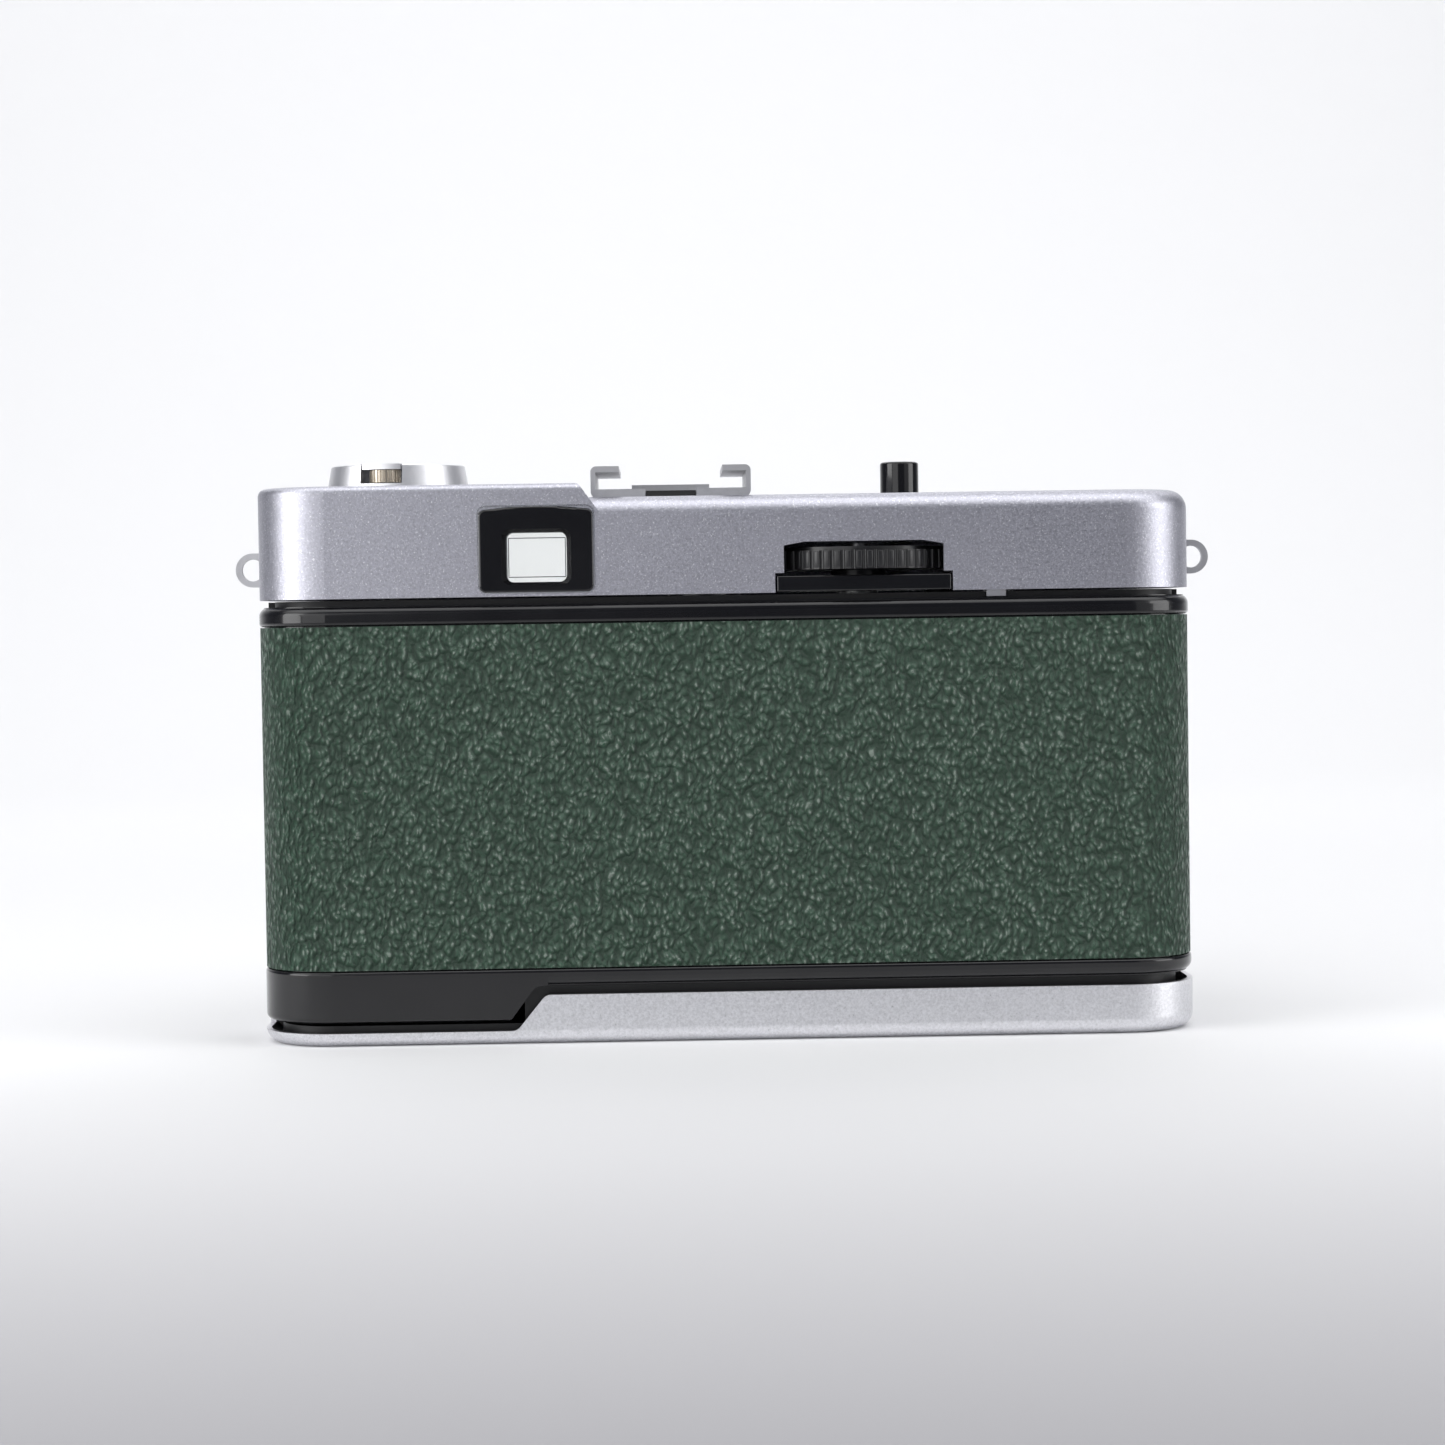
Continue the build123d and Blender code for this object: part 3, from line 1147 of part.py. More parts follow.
def lens_barrel():
    sleeve = ring(SLEEVE_R, FRONT_GLASS_R + 2.0, (MOUNT_D[1], HEAD_D[0]))
    head = ring(HEAD_R, FRONT_GLASS_R + 0.05, HEAD_D)
    head -= ring(WINDOW_OUT_R + 0.1, WINDOW_IN_R - 0.1, (HEAD_D[1] - 4.6, HEAD_D[1] + 1))
    head -= ring(FILTER_R, 0, (HEAD_D[1] - 1.5, HEAD_D[1] + 1))
    head -= ring(RETAINER_R + 0.05, 0, (HEAD_D[1] - 5.4, HEAD_D[1] + 1))
    rim = [e for e in head.edges().filter_by(GeomType.CIRCLE) if e.radius > HEAD_R - 0.01]
    head = chamfer(rim, 0.4)
    return head + sleeve - ring(SLEEVE_R - SLEEVE_T, 0, (MOUNT_D[1] - 1, HEAD_D[0] - 2.0))


def meter_cell():
    return ring(WINDOW_OUT_R, WINDOW_IN_R, (HEAD_D[1] - 4.5, HEAD_D[1] - 3.6))


def meter_window():
    return ring(WINDOW_OUT_R, WINDOW_IN_R, (HEAD_D[1] - 3.5, HEAD_D[1] - 1.6))


def retaining_ring():
    inner = FRONT_GLASS_R - 0.7
    body = ring(RETAINER_R, inner, (HEAD_D[1] - 5.3, HEAD_D[1] - 1.5))
    d_front = HEAD_D[1] - 1.5
    cone = Pos(0, 0, d_front - 1.4) * Cone(inner, RETAINER_R - 0.5, 2.8)
    return body - to_lens(cone)


def lens_element(radius, d_centre, thickness, bulge):
    """A biconvex glass of a given edge radius."""
    sphere_r = (radius * radius + bulge * bulge) / (2 * bulge)
    half = thickness / 2
    disc = prism(Circle(radius), -half - bulge, half + bulge)
    front = Pos(0, 0, half + bulge - sphere_r) * Sphere(sphere_r)
    rear = Pos(0, 0, -half - bulge + sphere_r) * Sphere(sphere_r)
    return to_lens(Pos(0, 0, d_centre) * (disc & front & rear))


def front_element():
    return lens_element(FRONT_GLASS_R, HEAD_D[1] - 7.6, 1.6, 1.3)


def rear_element():
    return lens_element(REAR_GLASS_R, CASE_D[0] - REAR_CELL_LENGTH / 2 + 0.1, 1.0, 0.7)


# ---------------------------------------------------------------- light meter
def meter_movement():
    body = post(METER_X, METER_Y, METER_R, DECK_TOP_Z + SEAT_GAP, METER_TOP_Z)
    bridge = block(
        (METER_X - METER_R, METER_X + METER_R),
        (METER_Y - 1.0, METER_Y + 1.0),
        (METER_TOP_Z, METER_TOP_Z + 0.4),
    )
    return body + bridge + post(METER_X, METER_Y, 0.35, METER_TOP_Z, NEEDLE_Z + 0.8)


def meter_needle():
    hub = post(METER_X, METER_Y, 0.9, NEEDLE_Z - 0.3, NEEDLE_Z + 0.3)
    thick = (NEEDLE_Z - 0.1, NEEDLE_Z + 0.1)
    pointer = block((METER_X, METER_X + NEEDLE_LENGTH), (METER_Y - 0.2, METER_Y + 0.2), thick)
    tail = block((METER_X - NEEDLE_LENGTH / 3, METER_X), (METER_Y - 0.5, METER_Y + 0.5), thick)
    return hub + pointer + tail - post(METER_X, METER_Y, 0.4, NEEDLE_Z - 1, NEEDLE_Z + 1)


# ---------------------------------------------------------------- all nodes
NODES = {
    "body_casting": body_casting,
    "front_leatherette": front_leatherette,
    "top_cover": top_cover,
    "top_cover_screw": top_cover_screw,
    "bottom_cover": bottom_cover,
    "bottom_cover_screws": bottom_cover_screws,
    "tripod_bush": tripod_bush,
    "strap_lugs": strap_lugs,
    "eyepiece_bezel": eyepiece_bezel,
    "eyepiece_lens": eyepiece_lens,
    "finder_housing": finder_housing,
    "finder_front_bezel": finder_front_bezel,
    "finder_front_window": finder_front_window,
    "accessory_shoe": accessory_shoe,
    "shoe_screws": shoe_screws,
    "shoe_insulator": shoe_insulator,
    "shoe_contact": shoe_contact,
    "gate_plate": gate_plate,
    "light_box": light_box,
    "advance_wheel": advance_wheel,
    "sprocket_shaft": sprocket_shaft,
    "idler_gear": idler_gear,
    "take_up_spool": take_up_spool,
    "deck_posts": deck_posts,
    "counter_bridge": counter_bridge,
    "counter_dial": counter_dial,
    "counter_window": counter_window,
    "wheel_guard": wheel_guard,
    "button_collar": button_collar,
    "shutter_button": shutter_button,
    "button_spring": button_spring,
    "back_door": back_door,
    "door_leatherette": door_leatherette,
    "hinge_leaf_body": hinge_leaf_body,
    "hinge_leaf_door": hinge_leaf_door,
    "hinge_pin": hinge_pin,
    "pressure_plate": pressure_plate,
    "pressure_spring": pressure_spring,
    "door_latch": door_latch,
    "rewind_knob": rewind_knob,
    "crank_lever": crank_lever,
    "crank_grip": crank_grip,
    "rewind_shaft": rewind_shaft,
    "rewind_collar": rewind_collar,
    "rewind_release": rewind_release,
    "counter_reset_pin": counter_reset_pin,
    "lens_mount": lens_mount,
    "shutter_case": shutter_case,
    "shutter_blade_a": lambda: shutter_blade(-1),
    "shutter_blade_b": lambda: shutter_blade(1),
    "aperture_ring": aperture_ring,
    "film_speed_ring": film_speed_ring,
    "lens_barrel": lens_barrel,
    "meter_cell": meter_cell,
    "meter_window": meter_window,
    "retaining_ring": retaining_ring,
    "front_element": front_element,
    "rear_element": rear_element,
    "meter_movement": meter_movement,
    "meter_needle": meter_needle,
}

os.makedirs("parts", exist_ok=True)
for name, make in NODES.items():
    export_step(make(), f"parts/{name}.step")
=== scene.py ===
import math

import bpy
from mathutils import Matrix, Vector


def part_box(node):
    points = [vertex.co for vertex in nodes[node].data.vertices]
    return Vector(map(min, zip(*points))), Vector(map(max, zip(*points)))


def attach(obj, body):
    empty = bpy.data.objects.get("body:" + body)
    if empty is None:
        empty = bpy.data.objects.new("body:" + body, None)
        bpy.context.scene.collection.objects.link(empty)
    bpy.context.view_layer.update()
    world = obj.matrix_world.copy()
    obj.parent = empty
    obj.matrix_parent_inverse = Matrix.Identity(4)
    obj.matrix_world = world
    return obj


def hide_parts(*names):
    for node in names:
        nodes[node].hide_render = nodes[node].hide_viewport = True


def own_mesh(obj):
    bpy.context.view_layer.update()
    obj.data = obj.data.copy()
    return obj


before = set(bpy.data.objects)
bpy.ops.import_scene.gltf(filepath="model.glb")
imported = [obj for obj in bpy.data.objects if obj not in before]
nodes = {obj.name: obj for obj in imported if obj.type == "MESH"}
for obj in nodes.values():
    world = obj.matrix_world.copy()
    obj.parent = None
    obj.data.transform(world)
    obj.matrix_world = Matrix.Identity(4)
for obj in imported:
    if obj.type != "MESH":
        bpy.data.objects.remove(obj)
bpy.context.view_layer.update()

MM = 0.001

# ---------------------------------------------------------------- the sweep, the lights and the camera
# The camera sits on a sweep of white paper between two soft boxes, which the rounded chrome ends mirror as
# bright bands, with broad soft lights overhead. The paper's colour carries painted shade: it turns grey in a
# band in front of the viewpoint, standing in for the light falling off there.


class Value:
    """An output in a material's node tree. Arithmetic on it adds Math nodes."""

    def __init__(self, tree, socket):
        self.tree = tree
        self.socket = socket

    def node(self, kind, settings, inputs, output=0):
        """Adds a node: its settings first, then its sockets' values or links."""
        new = self.tree.nodes.new("ShaderNode" + kind)
        for name, setting in settings.items():
            setattr(new, name, setting)
        for name, given in inputs.items():
            if isinstance(given, Value):
                self.tree.links.new(given.socket, new.inputs[name])
            else:
                new.inputs[name].default_value = given
        return Value(self.tree, new.outputs[output])

    def maths(self, operation, *others):
        return self.node("Math", {"operation": operation}, dict(enumerate((self, *others))))

    def __add__(self, other):
        return self.maths("ADD", other)

    def __sub__(self, other):
        return self.maths("SUBTRACT", other)

    def __rsub__(self, other):
        return self.node("Math", {"operation": "SUBTRACT"}, {0: other, 1: self})

    def __mul__(self, other):
        return self.maths("MULTIPLY", other)

    def __pow__(self, other):
        return self.maths("POWER", other)

    def clamped(self, low, high, new_low=0.0, new_high=1.0):
        """Maps low..high onto new_low..new_high and holds it there."""
        ends = {1: low, 2: high, 3: new_low, 4: new_high}
        return self.node("MapRange", {"clamp": True}, {0: self, **ends})

    def between(self, first, second):
        """A colour between two, by this value."""
        pair = {6: rgba(first), 7: rgba(second)}
        return self.node("Mix", {"data_type": "RGBA"}, {0: self, **pair}, 2)

    def noise(self, size, detail=2.0, roughness=0.5, output=0):
        """Cloudy noise whose features are about size millimetres across, on this position."""
        inputs = {"Vector": self, "Scale": 1 / (size * MM), "Detail": detail, "Roughness": roughness}
        return self.node("TexNoise", {}, inputs, output)

    def stretched(self, x, y, z, turn=(0, 0, 0)):
        """This position, scaled along each axis, which squeezes a pattern there."""
        return self.node("Mapping", {}, {"Vector": self, "Rotation": turn, "Scale": (x, y, z)})

    def moved_by(self, colour, distance):
        """This position pushed about by a colour, by up to a distance in millimetres."""
        centred = self.node("VectorMath", {"operation": "SUBTRACT"}, {0: colour, 1: (0.5, 0.5, 0.5)})
        push = self.node("VectorMath", {"operation": "SCALE"}, {0: centred, "Scale": distance * MM})
        return self.node("VectorMath", {"operation": "ADD"}, {0: self, 1: push})

    def relief(self, depth):
        """A bumped normal from this height, with a depth in millimetres."""
        return self.node("Bump", {}, {"Height": self, "Distance": depth * MM, "Strength": 1.0})


def rgba(colour):
    """A colour with its alpha, unless it comes from other nodes."""
    return colour if isinstance(colour, Value) else (*colour, 1)


class Finish:
    """A material with one Principled shader, and the position on the piece to drive it by."""

    def __init__(self, name, **constants):
        self.material = bpy.data.materials.new(name)
        self.material.use_nodes = True
        self.tree = self.material.node_tree
        self.shader = self.tree.nodes["Principled BSDF"]
        for socket, given in constants.items():
            self.shader.inputs[socket.replace("_", " ")].default_value = given
        place = self.tree.nodes.new("ShaderNodeTexCoord")
        self.place = Value(self.tree, place.outputs["Object"])

    def feed(self, socket, given):
        """Drives one of the shader's sockets by a value."""
        self.tree.links.new(given.socket, self.shader.inputs[socket])

    def give(self, *names):
        """Puts this finish on CAD nodes."""
        for name in names:
            held = nodes[name].data.materials
            held.clear()
            held.append(self.material)


def only(piece):
    """Selects one piece and nothing else."""
    bpy.ops.object.select_all(action="DESELECT")
    piece.select_set(True)
    bpy.context.view_layer.objects.active = piece


def smooth(piece, degrees=30):
    """Shades a piece smooth, but for edges sharper than an angle."""
    only(piece)
    bpy.ops.object.shade_smooth_by_angle(angle=math.radians(degrees), keep_sharp_edges=False)


def soft_light(name, place, aim, size, power):
    """A rectangular area light turned towards a point."""
    light = bpy.data.lights.new(name, "AREA")
    light.shape = "RECTANGLE"
    light.size, light.size_y = size
    light.energy = power
    lamp = bpy.data.objects.new(name, light)
    lamp.location = place
    lamp.rotation_euler = (Vector(aim) - Vector(place)).to_track_quat("-Z", "Y").to_euler()
    bpy.context.scene.collection.objects.link(lamp)


EYE = Vector((7.2, 395.0, 52.0)) * MM
LOOK_AT = Vector((0.62, 15.0, 39.2)) * MM
TILT = math.radians(-0.87)
camera_data = bpy.data.cameras.new("viewpoint")
camera_data.lens = 77.3
camera_data.sensor_width = 36.0
camera_data.clip_start = 0.01
camera_data.clip_end = 20.0
camera = bpy.data.objects.new("viewpoint", camera_data)
bpy.context.scene.collection.objects.link(camera)
bpy.context.scene.camera = camera
camera.location = EYE
facing = (LOOK_AT - EYE).to_track_quat("-Z", "Y").to_matrix()
camera.rotation_euler = (facing @ Matrix.Rotation(TILT, 3, "Z")).to_euler()

SWEEP_FRONT = 5.0
SWEEP_BACK = -0.9
SWEEP_BEND = 0.35
SWEEP_HALF = 5.0
SWEEP_RISE = 2.2
bpy.ops.object.select_all(action="DESELECT")
bpy.ops.mesh.primitive_plane_add(size=1, location=(0, 0, 0))
sweep = bpy.context.active_object
sweep.name = "paper_sweep"
bpy.ops.object.mode_set(mode="EDIT")
bpy.ops.transform.resize(value=(2 * SWEEP_HALF, SWEEP_FRONT - SWEEP_BACK, 1))
bpy.ops.transform.translate(value=(0, (SWEEP_FRONT + SWEEP_BACK) / 2, 0))
bpy.ops.mesh.select_mode(type="EDGE")
bpy.ops.mesh.select_all(action="DESELECT")
bpy.ops.object.mode_set(mode="OBJECT")
for edge in sweep.data.edges:
    edge.select = all(sweep.data.vertices[v].co.y < SWEEP_BACK + MM for v in edge.vertices)
bpy.ops.object.mode_set(mode="EDIT")
bpy.ops.mesh.extrude_region_move(TRANSFORM_OT_translate={"value": (0, 0, SWEEP_RISE)})
bpy.ops.mesh.select_all(action="DESELECT")
bpy.ops.object.mode_set(mode="OBJECT")
for edge in sweep.data.edges:
    ends = [sweep.data.vertices[v].co for v in edge.vertices]
    edge.select = all(end.y < SWEEP_BACK + MM and end.z < MM for end in ends)
bpy.ops.object.mode_set(mode="EDIT")
bpy.ops.mesh.bevel(offset=SWEEP_BEND, segments=16)
bpy.ops.object.mode_set(mode="OBJECT")
smooth(sweep, 60)

paper = Finish("white_paper_painted_shade", Roughness=0.75)
forward = paper.place.node("SeparateXYZ", {}, {"Vector": paper.place}, 1)
# Painted shade: the paper's colour greys in a band in front of the viewpoint, standing in for the light's
# falloff towards the viewer.
painted_shade_in = (forward + paper.place.noise(300.0) * 0.01).clamped(0.02, 0.22)
painted_shade_out = forward.clamped(0.42, 0.62)
paper.feed("Base Color", (painted_shade_in - painted_shade_out).between((0.86, 0.86, 0.865), (0.35, 0.345, 0.36)))
sweep.data.materials.append(paper.material)

soft_light("box_left", (0.53, 0.27, 0.17), (0, 0, 0.03), (0.34, 0.34), 1.5)
soft_light("box_right", (-0.58, 0.20, 0.17), (0, 0, 0.03), (0.34, 0.34), 1.15)
soft_light("near_left", (0.36, 0.70, 0.24), (0, 0, 0.03), (0.50, 0.45), 1.0)
soft_light("near_right", (-0.55, 0.62, 0.24), (0, 0, 0.03), (0.40, 0.45), 0.25)
soft_light("overhead", (0, -0.02, 0.85), (0, -0.02, 0), (1.5, 0.9), 2.4)
soft_light("front_overhead", (0, 0.12, 0.33), (0, 0.10, 0), (0.9, 0.30), 1.25)
soft_light("rear_fill", (0, -0.42, 0.55), (0, -0.30, 0), (1.2, 0.3), 1.3)
soft_light("backdrop_wash", (0, -0.40, 0.62), (0, -0.95, 0.20), (1.6, 0.3), 3.6)
world = bpy.data.worlds.new("studio")
world.use_nodes = True
room = world.node_tree.nodes["Background"].inputs
room["Color"].default_value = (0.74, 0.80, 1.0, 1)
room["Strength"].default_value = 0.12
bpy.context.scene.world = world
bpy.context.scene.view_settings.view_transform = "Standard"

# ---------------------------------------------------------------- top and bottom covers
# Both covers are pressed brass, matted and chrome plated. The top cover's satin has a coarse sparkle, from
# bumps and from painted glints in its colour, and the bottom cover and the ring with the film speeds are
# finer and paler.


def satin_chrome(name, tint, sparkle, rough):
    """Matted plating: a fine sparkle of tiny bumped facets, with painted glints as bright specks in its
    colour, over slow changes in roughness.
    """
    finish = Finish(name, Metallic=1.0)
    grain = finish.place.noise(0.34, 4.0, 0.75)
    cloud = finish.place.noise(14.0, 3.0)
    glint_speck = finish.place.noise(0.22, 2.0, 0.6)
    # Painted glints: bright specks in the plating's colour stand in for light caught by tiny facets.
    painted_glint = glint_speck.clamped(0.58, 0.74) * (0.8 * sparkle)
    dull = grain.clamped(0.35, 0.65).between([c * 0.80 for c in tint], [c * 1.06 for c in tint])
    finish.feed("Base Color", painted_glint.between(dull, (0.95, 0.95, 0.97)))
    finish.feed("Roughness", grain.clamped(0.3, 0.7, rough - 0.06, rough + 0.06) + cloud * 0.06)
    finish.feed("Normal", grain.relief(0.030 * sparkle))
    return finish


top_satin = satin_chrome("satin_chrome_top", (0.53, 0.53, 0.59), 1.0, 0.36)
top_satin.give("top_cover")
base_satin = satin_chrome("satin_chrome_base", (0.78, 0.78, 0.81), 0.5, 0.30)
base_satin.give("bottom_cover")
satin_ring = satin_chrome("satin_chrome_ring", (0.66, 0.66, 0.69), 0.35, 0.27)
satin_ring.give("film_speed_ring")

# ---------------------------------------------------------------- leatherette
# Embossed vinyl cloth glued round the body and the back: a dark green pebble grain whose wrinkles run roughly
# upright, with smoother, shinier tops. Its colour carries painted shade, darker in the valleys, and painted
# highlights, whitish specks on the tops.

leather = Finish("green_leatherette", Specular_IOR_Level=0.5)
wander = leather.place.noise(3.2, 2.0, 0.5, 1)
strand = leather.place.moved_by(wander, 1.5).stretched(1.0, 1.0, 0.62, (0, math.radians(16), 0))
pebble = strand.node(
    "TexVoronoi",
    {"feature": "SMOOTH_F1"},
    {"Vector": strand, "Scale": 1 / (0.60 * MM), "Smoothness": 0.30},
)
ridge = strand.noise(0.62, 2.0, 0.5)
fine = leather.place.noise(0.18, 3.0, 0.6)
patch = leather.place.noise(11.0, 3.0)
height = (1 - pebble * 1.2) * 0.9 + ridge * 0.6 + fine * 0.12
crest_shine_and_painted_shade = height.clamped(0.55, 1.05)
painted_highlight_mask = (crest_shine_and_painted_shade ** 4) * strand.noise(0.45, 2.0).clamped(0.36, 0.62)
painted_highlight_colour = painted_highlight_mask.between((0.034, 0.092, 0.054), (0.21, 0.26, 0.22))
# Painted shade and highlight: the colour darkens into the valleys and whitens in specks on the crests,
# standing in for the relief's shading and its highlights.
leather.feed("Base Color", (crest_shine_and_painted_shade * 0.9).between((0.006, 0.030, 0.014), painted_highlight_colour))
leather.feed("Roughness", crest_shine_and_painted_shade.clamped(0.0, 1.0, 0.52, 0.25) + patch * 0.06)
leather.feed("Normal", height.relief(0.85))
leather.give("front_leatherette", "door_leatherette")

# ---------------------------------------------------------------- black parts
# The back and the small fittings are stove enamelled or moulded gloss black; the body casting is a plainer
# satin black, and everything inside is matt.


def black(name, colour, rough, coat, mottle, peel):
    """Black enamel or plastic: slight orange peel, and dust that dulls it in patches."""
    finish = Finish(name, Coat_Roughness=0.06, Specular_IOR_Level=0.5 - 0.35 * coat)
    patch = finish.place.noise(9.0, 4.0, 0.6)
    dust = finish.place.noise(0.35, 5.0, 0.7).clamped(0.60, 0.78)
    finish.feed("Base Color", (dust * mottle).between(colour, (0.10, 0.10, 0.105)))
    finish.feed("Roughness", patch.clamped(0.3, 0.7, rough, rough + 0.08) + dust * mottle * 0.6)
    finish.feed("Coat Weight", patch.clamped(0.25, 0.75, coat * 0.7, coat))
    finish.feed("Normal", finish.place.noise(0.9, 2.0).relief(peel))
    return finish


enamel = black("gloss_black_enamel", (0.005, 0.005, 0.006), 0.15, 0.5, 0.08, 0.004)
enamel.give("back_door", "lens_barrel", "retaining_ring", "door_latch")
moulded = black("gloss_black_plastic", (0.006, 0.006, 0.007), 0.10, 0.4, 0.05, 0.003)
moulded.give("eyepiece_bezel", "finder_front_bezel", "wheel_guard", "shutter_button")
casting = black("satin_black_casting", (0.012, 0.012, 0.013), 0.42, 0.0, 0.25, 0.02)
casting.give("body_casting", "lens_mount")
matt = black("matt_black", (0.01, 0.01, 0.0105), 0.62, 0.0, 0.2, 0.03)
matt.give(
    "light_box",
    "finder_housing",
    "shoe_insulator",
    "sprocket_shaft",
    "take_up_spool",
    "shutter_case",
    "shutter_blade_a",
    "shutter_blade_b",
    "gate_plate",
    "pressure_plate",
)
ribbed = black("wheel_black", (0.014, 0.014, 0.015), 0.30, 0.2, 0.35, 0.01)
ribbed.give("advance_wheel")

# ---------------------------------------------------------------- bright metal
# Turned and pressed parts in bright chrome or nickel, finely brushed, with a little tarnish.


def bright_metal(name, tint, rough, brush, tarnish):
    """Polished plating with fine brushing and cloudy tarnish."""
    finish = Finish(name, Metallic=1.0)
    line = finish.place.stretched(1.0, 1.0, 14.0).noise(0.5, 3.0)
    cloud = finish.place.noise(3.0, 4.0, 0.6)
    dull = cloud.clamped(0.52, 0.75) * tarnish
    finish.feed("Base Color", dull.between(tint, [c * 0.55 for c in tint]))
    finish.feed("Roughness", line.clamped(0.3, 0.7, rough, rough + brush) + dull * 0.2)
    finish.feed("Normal", line.relief(0.004))
    return finish


chrome = bright_metal("bright_chrome", (0.78, 0.78, 0.80), 0.14, 0.10, 0.2)
chrome.give("button_collar", "aperture_ring")
turned = bright_metal("satin_turned_metal", (0.86, 0.86, 0.88), 0.34, 0.10, 0.15)
turned.give("rewind_knob", "crank_lever")
pressed = bright_metal("pressed_steel", (0.60, 0.60, 0.62), 0.36, 0.14, 0.35)
pressed.give("accessory_shoe", "strap_lugs", "tripod_bush", "counter_reset_pin", "rewind_release")
steel = bright_metal("plain_steel", (0.50, 0.50, 0.51), 0.25, 0.2, 0.4)
steel.give(
    "top_cover_screw",
    "bottom_cover_screws",
    "shoe_screws",
    "shoe_contact",
    "hinge_leaf_body",
    "hinge_leaf_door",
    "hinge_pin",
    "pressure_spring",
    "rewind_shaft",
    "rewind_collar",
    "deck_posts",
    "counter_bridge",
    "meter_movement",
)
aged_nickel = bright_metal("aged_nickel", (0.56, 0.50, 0.41), 0.28, 0.15, 0.7)
aged_nickel.give("crank_grip", "idler_gear")

# ---------------------------------------------------------------- glass
# The finder's glasses and the windows over the dial and the meter are clear. The two lens elements carry a
# thin coating that tints their reflections.


def glass(name, tint, **coating):
    """Polished glass with faint smears."""
    finish = Finish(name, IOR=1.5, Transmission_Weight=1.0, **coating)
    smear = finish.place.noise(4.0, 3.0)
    finish.feed("Base Color", smear.between(tint, [c * 0.98 for c in tint]))
    finish.feed("Roughness", smear.clamped(0.5, 0.8, 0.0, 0.02))
    return finish


clear = glass("clear_glass", (0.98, 0.99, 0.98))
clear.give("eyepiece_lens", "finder_front_window", "counter_window", "meter_window")
coated = glass("coated_glass", (0.62, 0.66, 0.80), Thin_Film_Thickness=420.0, Thin_Film_IOR=1.38)
coated.give("front_element", "rear_element")

# ---------------------------------------------------------------- dial, needle and meter cell
# The counter's dial and the meter's needle are enamelled off-white. The ring under the lenslets is the
# meter's selenium cell, a metal plate with a dark mottled skin.

dial = Finish("dial_enamel", Roughness=0.35)
dial.feed("Base Color", dial.place.noise(5.0).between((0.72, 0.72, 0.70), (0.78, 0.78, 0.75)))
dial.give("counter_dial", "meter_needle")
cell = Finish("selenium_cell", Metallic=0.6)
cell.feed("Base Color", cell.place.noise(1.5, 3.0).between((0.05, 0.045, 0.08), (0.09, 0.06, 0.05)))
cell.feed("Roughness", cell.place.noise(0.6).clamped(0.3, 0.7, 0.2, 0.35))
cell.give("meter_cell")

# ---------------------------------------------------------------- thumb wheel's ribs
# The advance wheel is moulded with rounded ribs round its rim, in the same black as the wheel. One rib is
# shaped and copied round the wheel, half way between the grooves.


def apply_modifiers(piece):
    """Makes a piece's modifiers part of its mesh, in their order."""
    only(piece)
    for name in [modifier.name for modifier in piece.modifiers]:
        bpy.ops.object.modifier_apply(modifier=name)


def repeat_round(piece, count, centre, axis):
    """Copies a piece's mesh round an axis through a centre."""
    turn = Matrix.Rotation(2 * math.pi / count, 4, axis)
    pivot = bpy.data.objects.new("pivot", None)
    bpy.context.scene.collection.objects.link(pivot)
    pivot.matrix_world = Matrix.Translation(centre) @ turn @ Matrix.Translation(-Vector(centre))
    bpy.context.view_layer.update()
    array = piece.modifiers.new("round", "ARRAY")
    array.count = count
    array.use_relative_offset = False
    array.use_object_offset = True
    array.offset_object = pivot
    apply_modifiers(piece)
    bpy.data.objects.remove(pivot)


def settle(piece, name, body, finish):
    """Puts a finished piece's place in its mesh, and gives it its name, body and finish."""
    only(piece)
    bpy.ops.object.transform_apply(location=True, rotation=True, scale=True)
    piece.name = name
    piece.data.name = name
    piece.data.materials.clear()
    piece.data.materials.append(finish.material)
    smooth(piece)
    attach(piece, body)


def corners(name):
    """The low and high corners of a CAD node's box."""
    low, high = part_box(name)
    return Vector(low), Vector(high)


def middle(name):
    """The centre of a CAD node's box."""
    low, high = corners(name)
    return (low + high) / 2


RIB_COUNT = 56
RIB_W = 0.82 * MM
RIB_H = 2.2 * MM
RIB_OUT = 0.5 * MM
RIB_EDGE = 0.2 * MM
RIB_PROUD = 0.04 * MM
COLLAR_H = 0.45 * MM             # the wheel's plain collar, over its rim
wheel_low, wheel_high = corners("advance_wheel")
wheel_centre = middle("advance_wheel")
wheel_r = (wheel_high.x - wheel_low.x) / 2
rim_z = wheel_high.z - COLLAR_H - RIB_H / 2
bpy.ops.object.select_all(action="DESELECT")
bpy.ops.mesh.primitive_cube_add(size=1, location=(0, 0, 0), scale=(RIB_OUT, RIB_W, RIB_H))
rib = bpy.context.active_object
only(rib)
bpy.ops.object.transform_apply(location=False, rotation=False, scale=True)
bpy.ops.object.mode_set(mode="EDIT")
bpy.ops.mesh.select_all(action="SELECT")
bpy.ops.mesh.bevel(offset=RIB_EDGE, segments=3)
bpy.ops.object.mode_set(mode="OBJECT")
half_pitch = math.pi / RIB_COUNT
out = Vector((math.cos(half_pitch), math.sin(half_pitch), 0)) * (wheel_r - RIB_OUT / 2 + RIB_PROUD)
rib.rotation_euler = (0, 0, half_pitch)
rib.location = (wheel_centre.x + out.x, wheel_centre.y + out.y, rim_z)
only(rib)
bpy.ops.object.transform_apply(location=True, rotation=True, scale=True)
repeat_round(rib, RIB_COUNT, (wheel_centre.x, wheel_centre.y, rim_z), "Z")
settle(rib, "wheel_ribs", "advance_wheel", ribbed)

# ---------------------------------------------------------------- eyepiece rim and the finder's frame
# A thin bright lip of the cover shows round the black eyepiece, and a fine black frame inside the finder
# marks the edges of the picture.


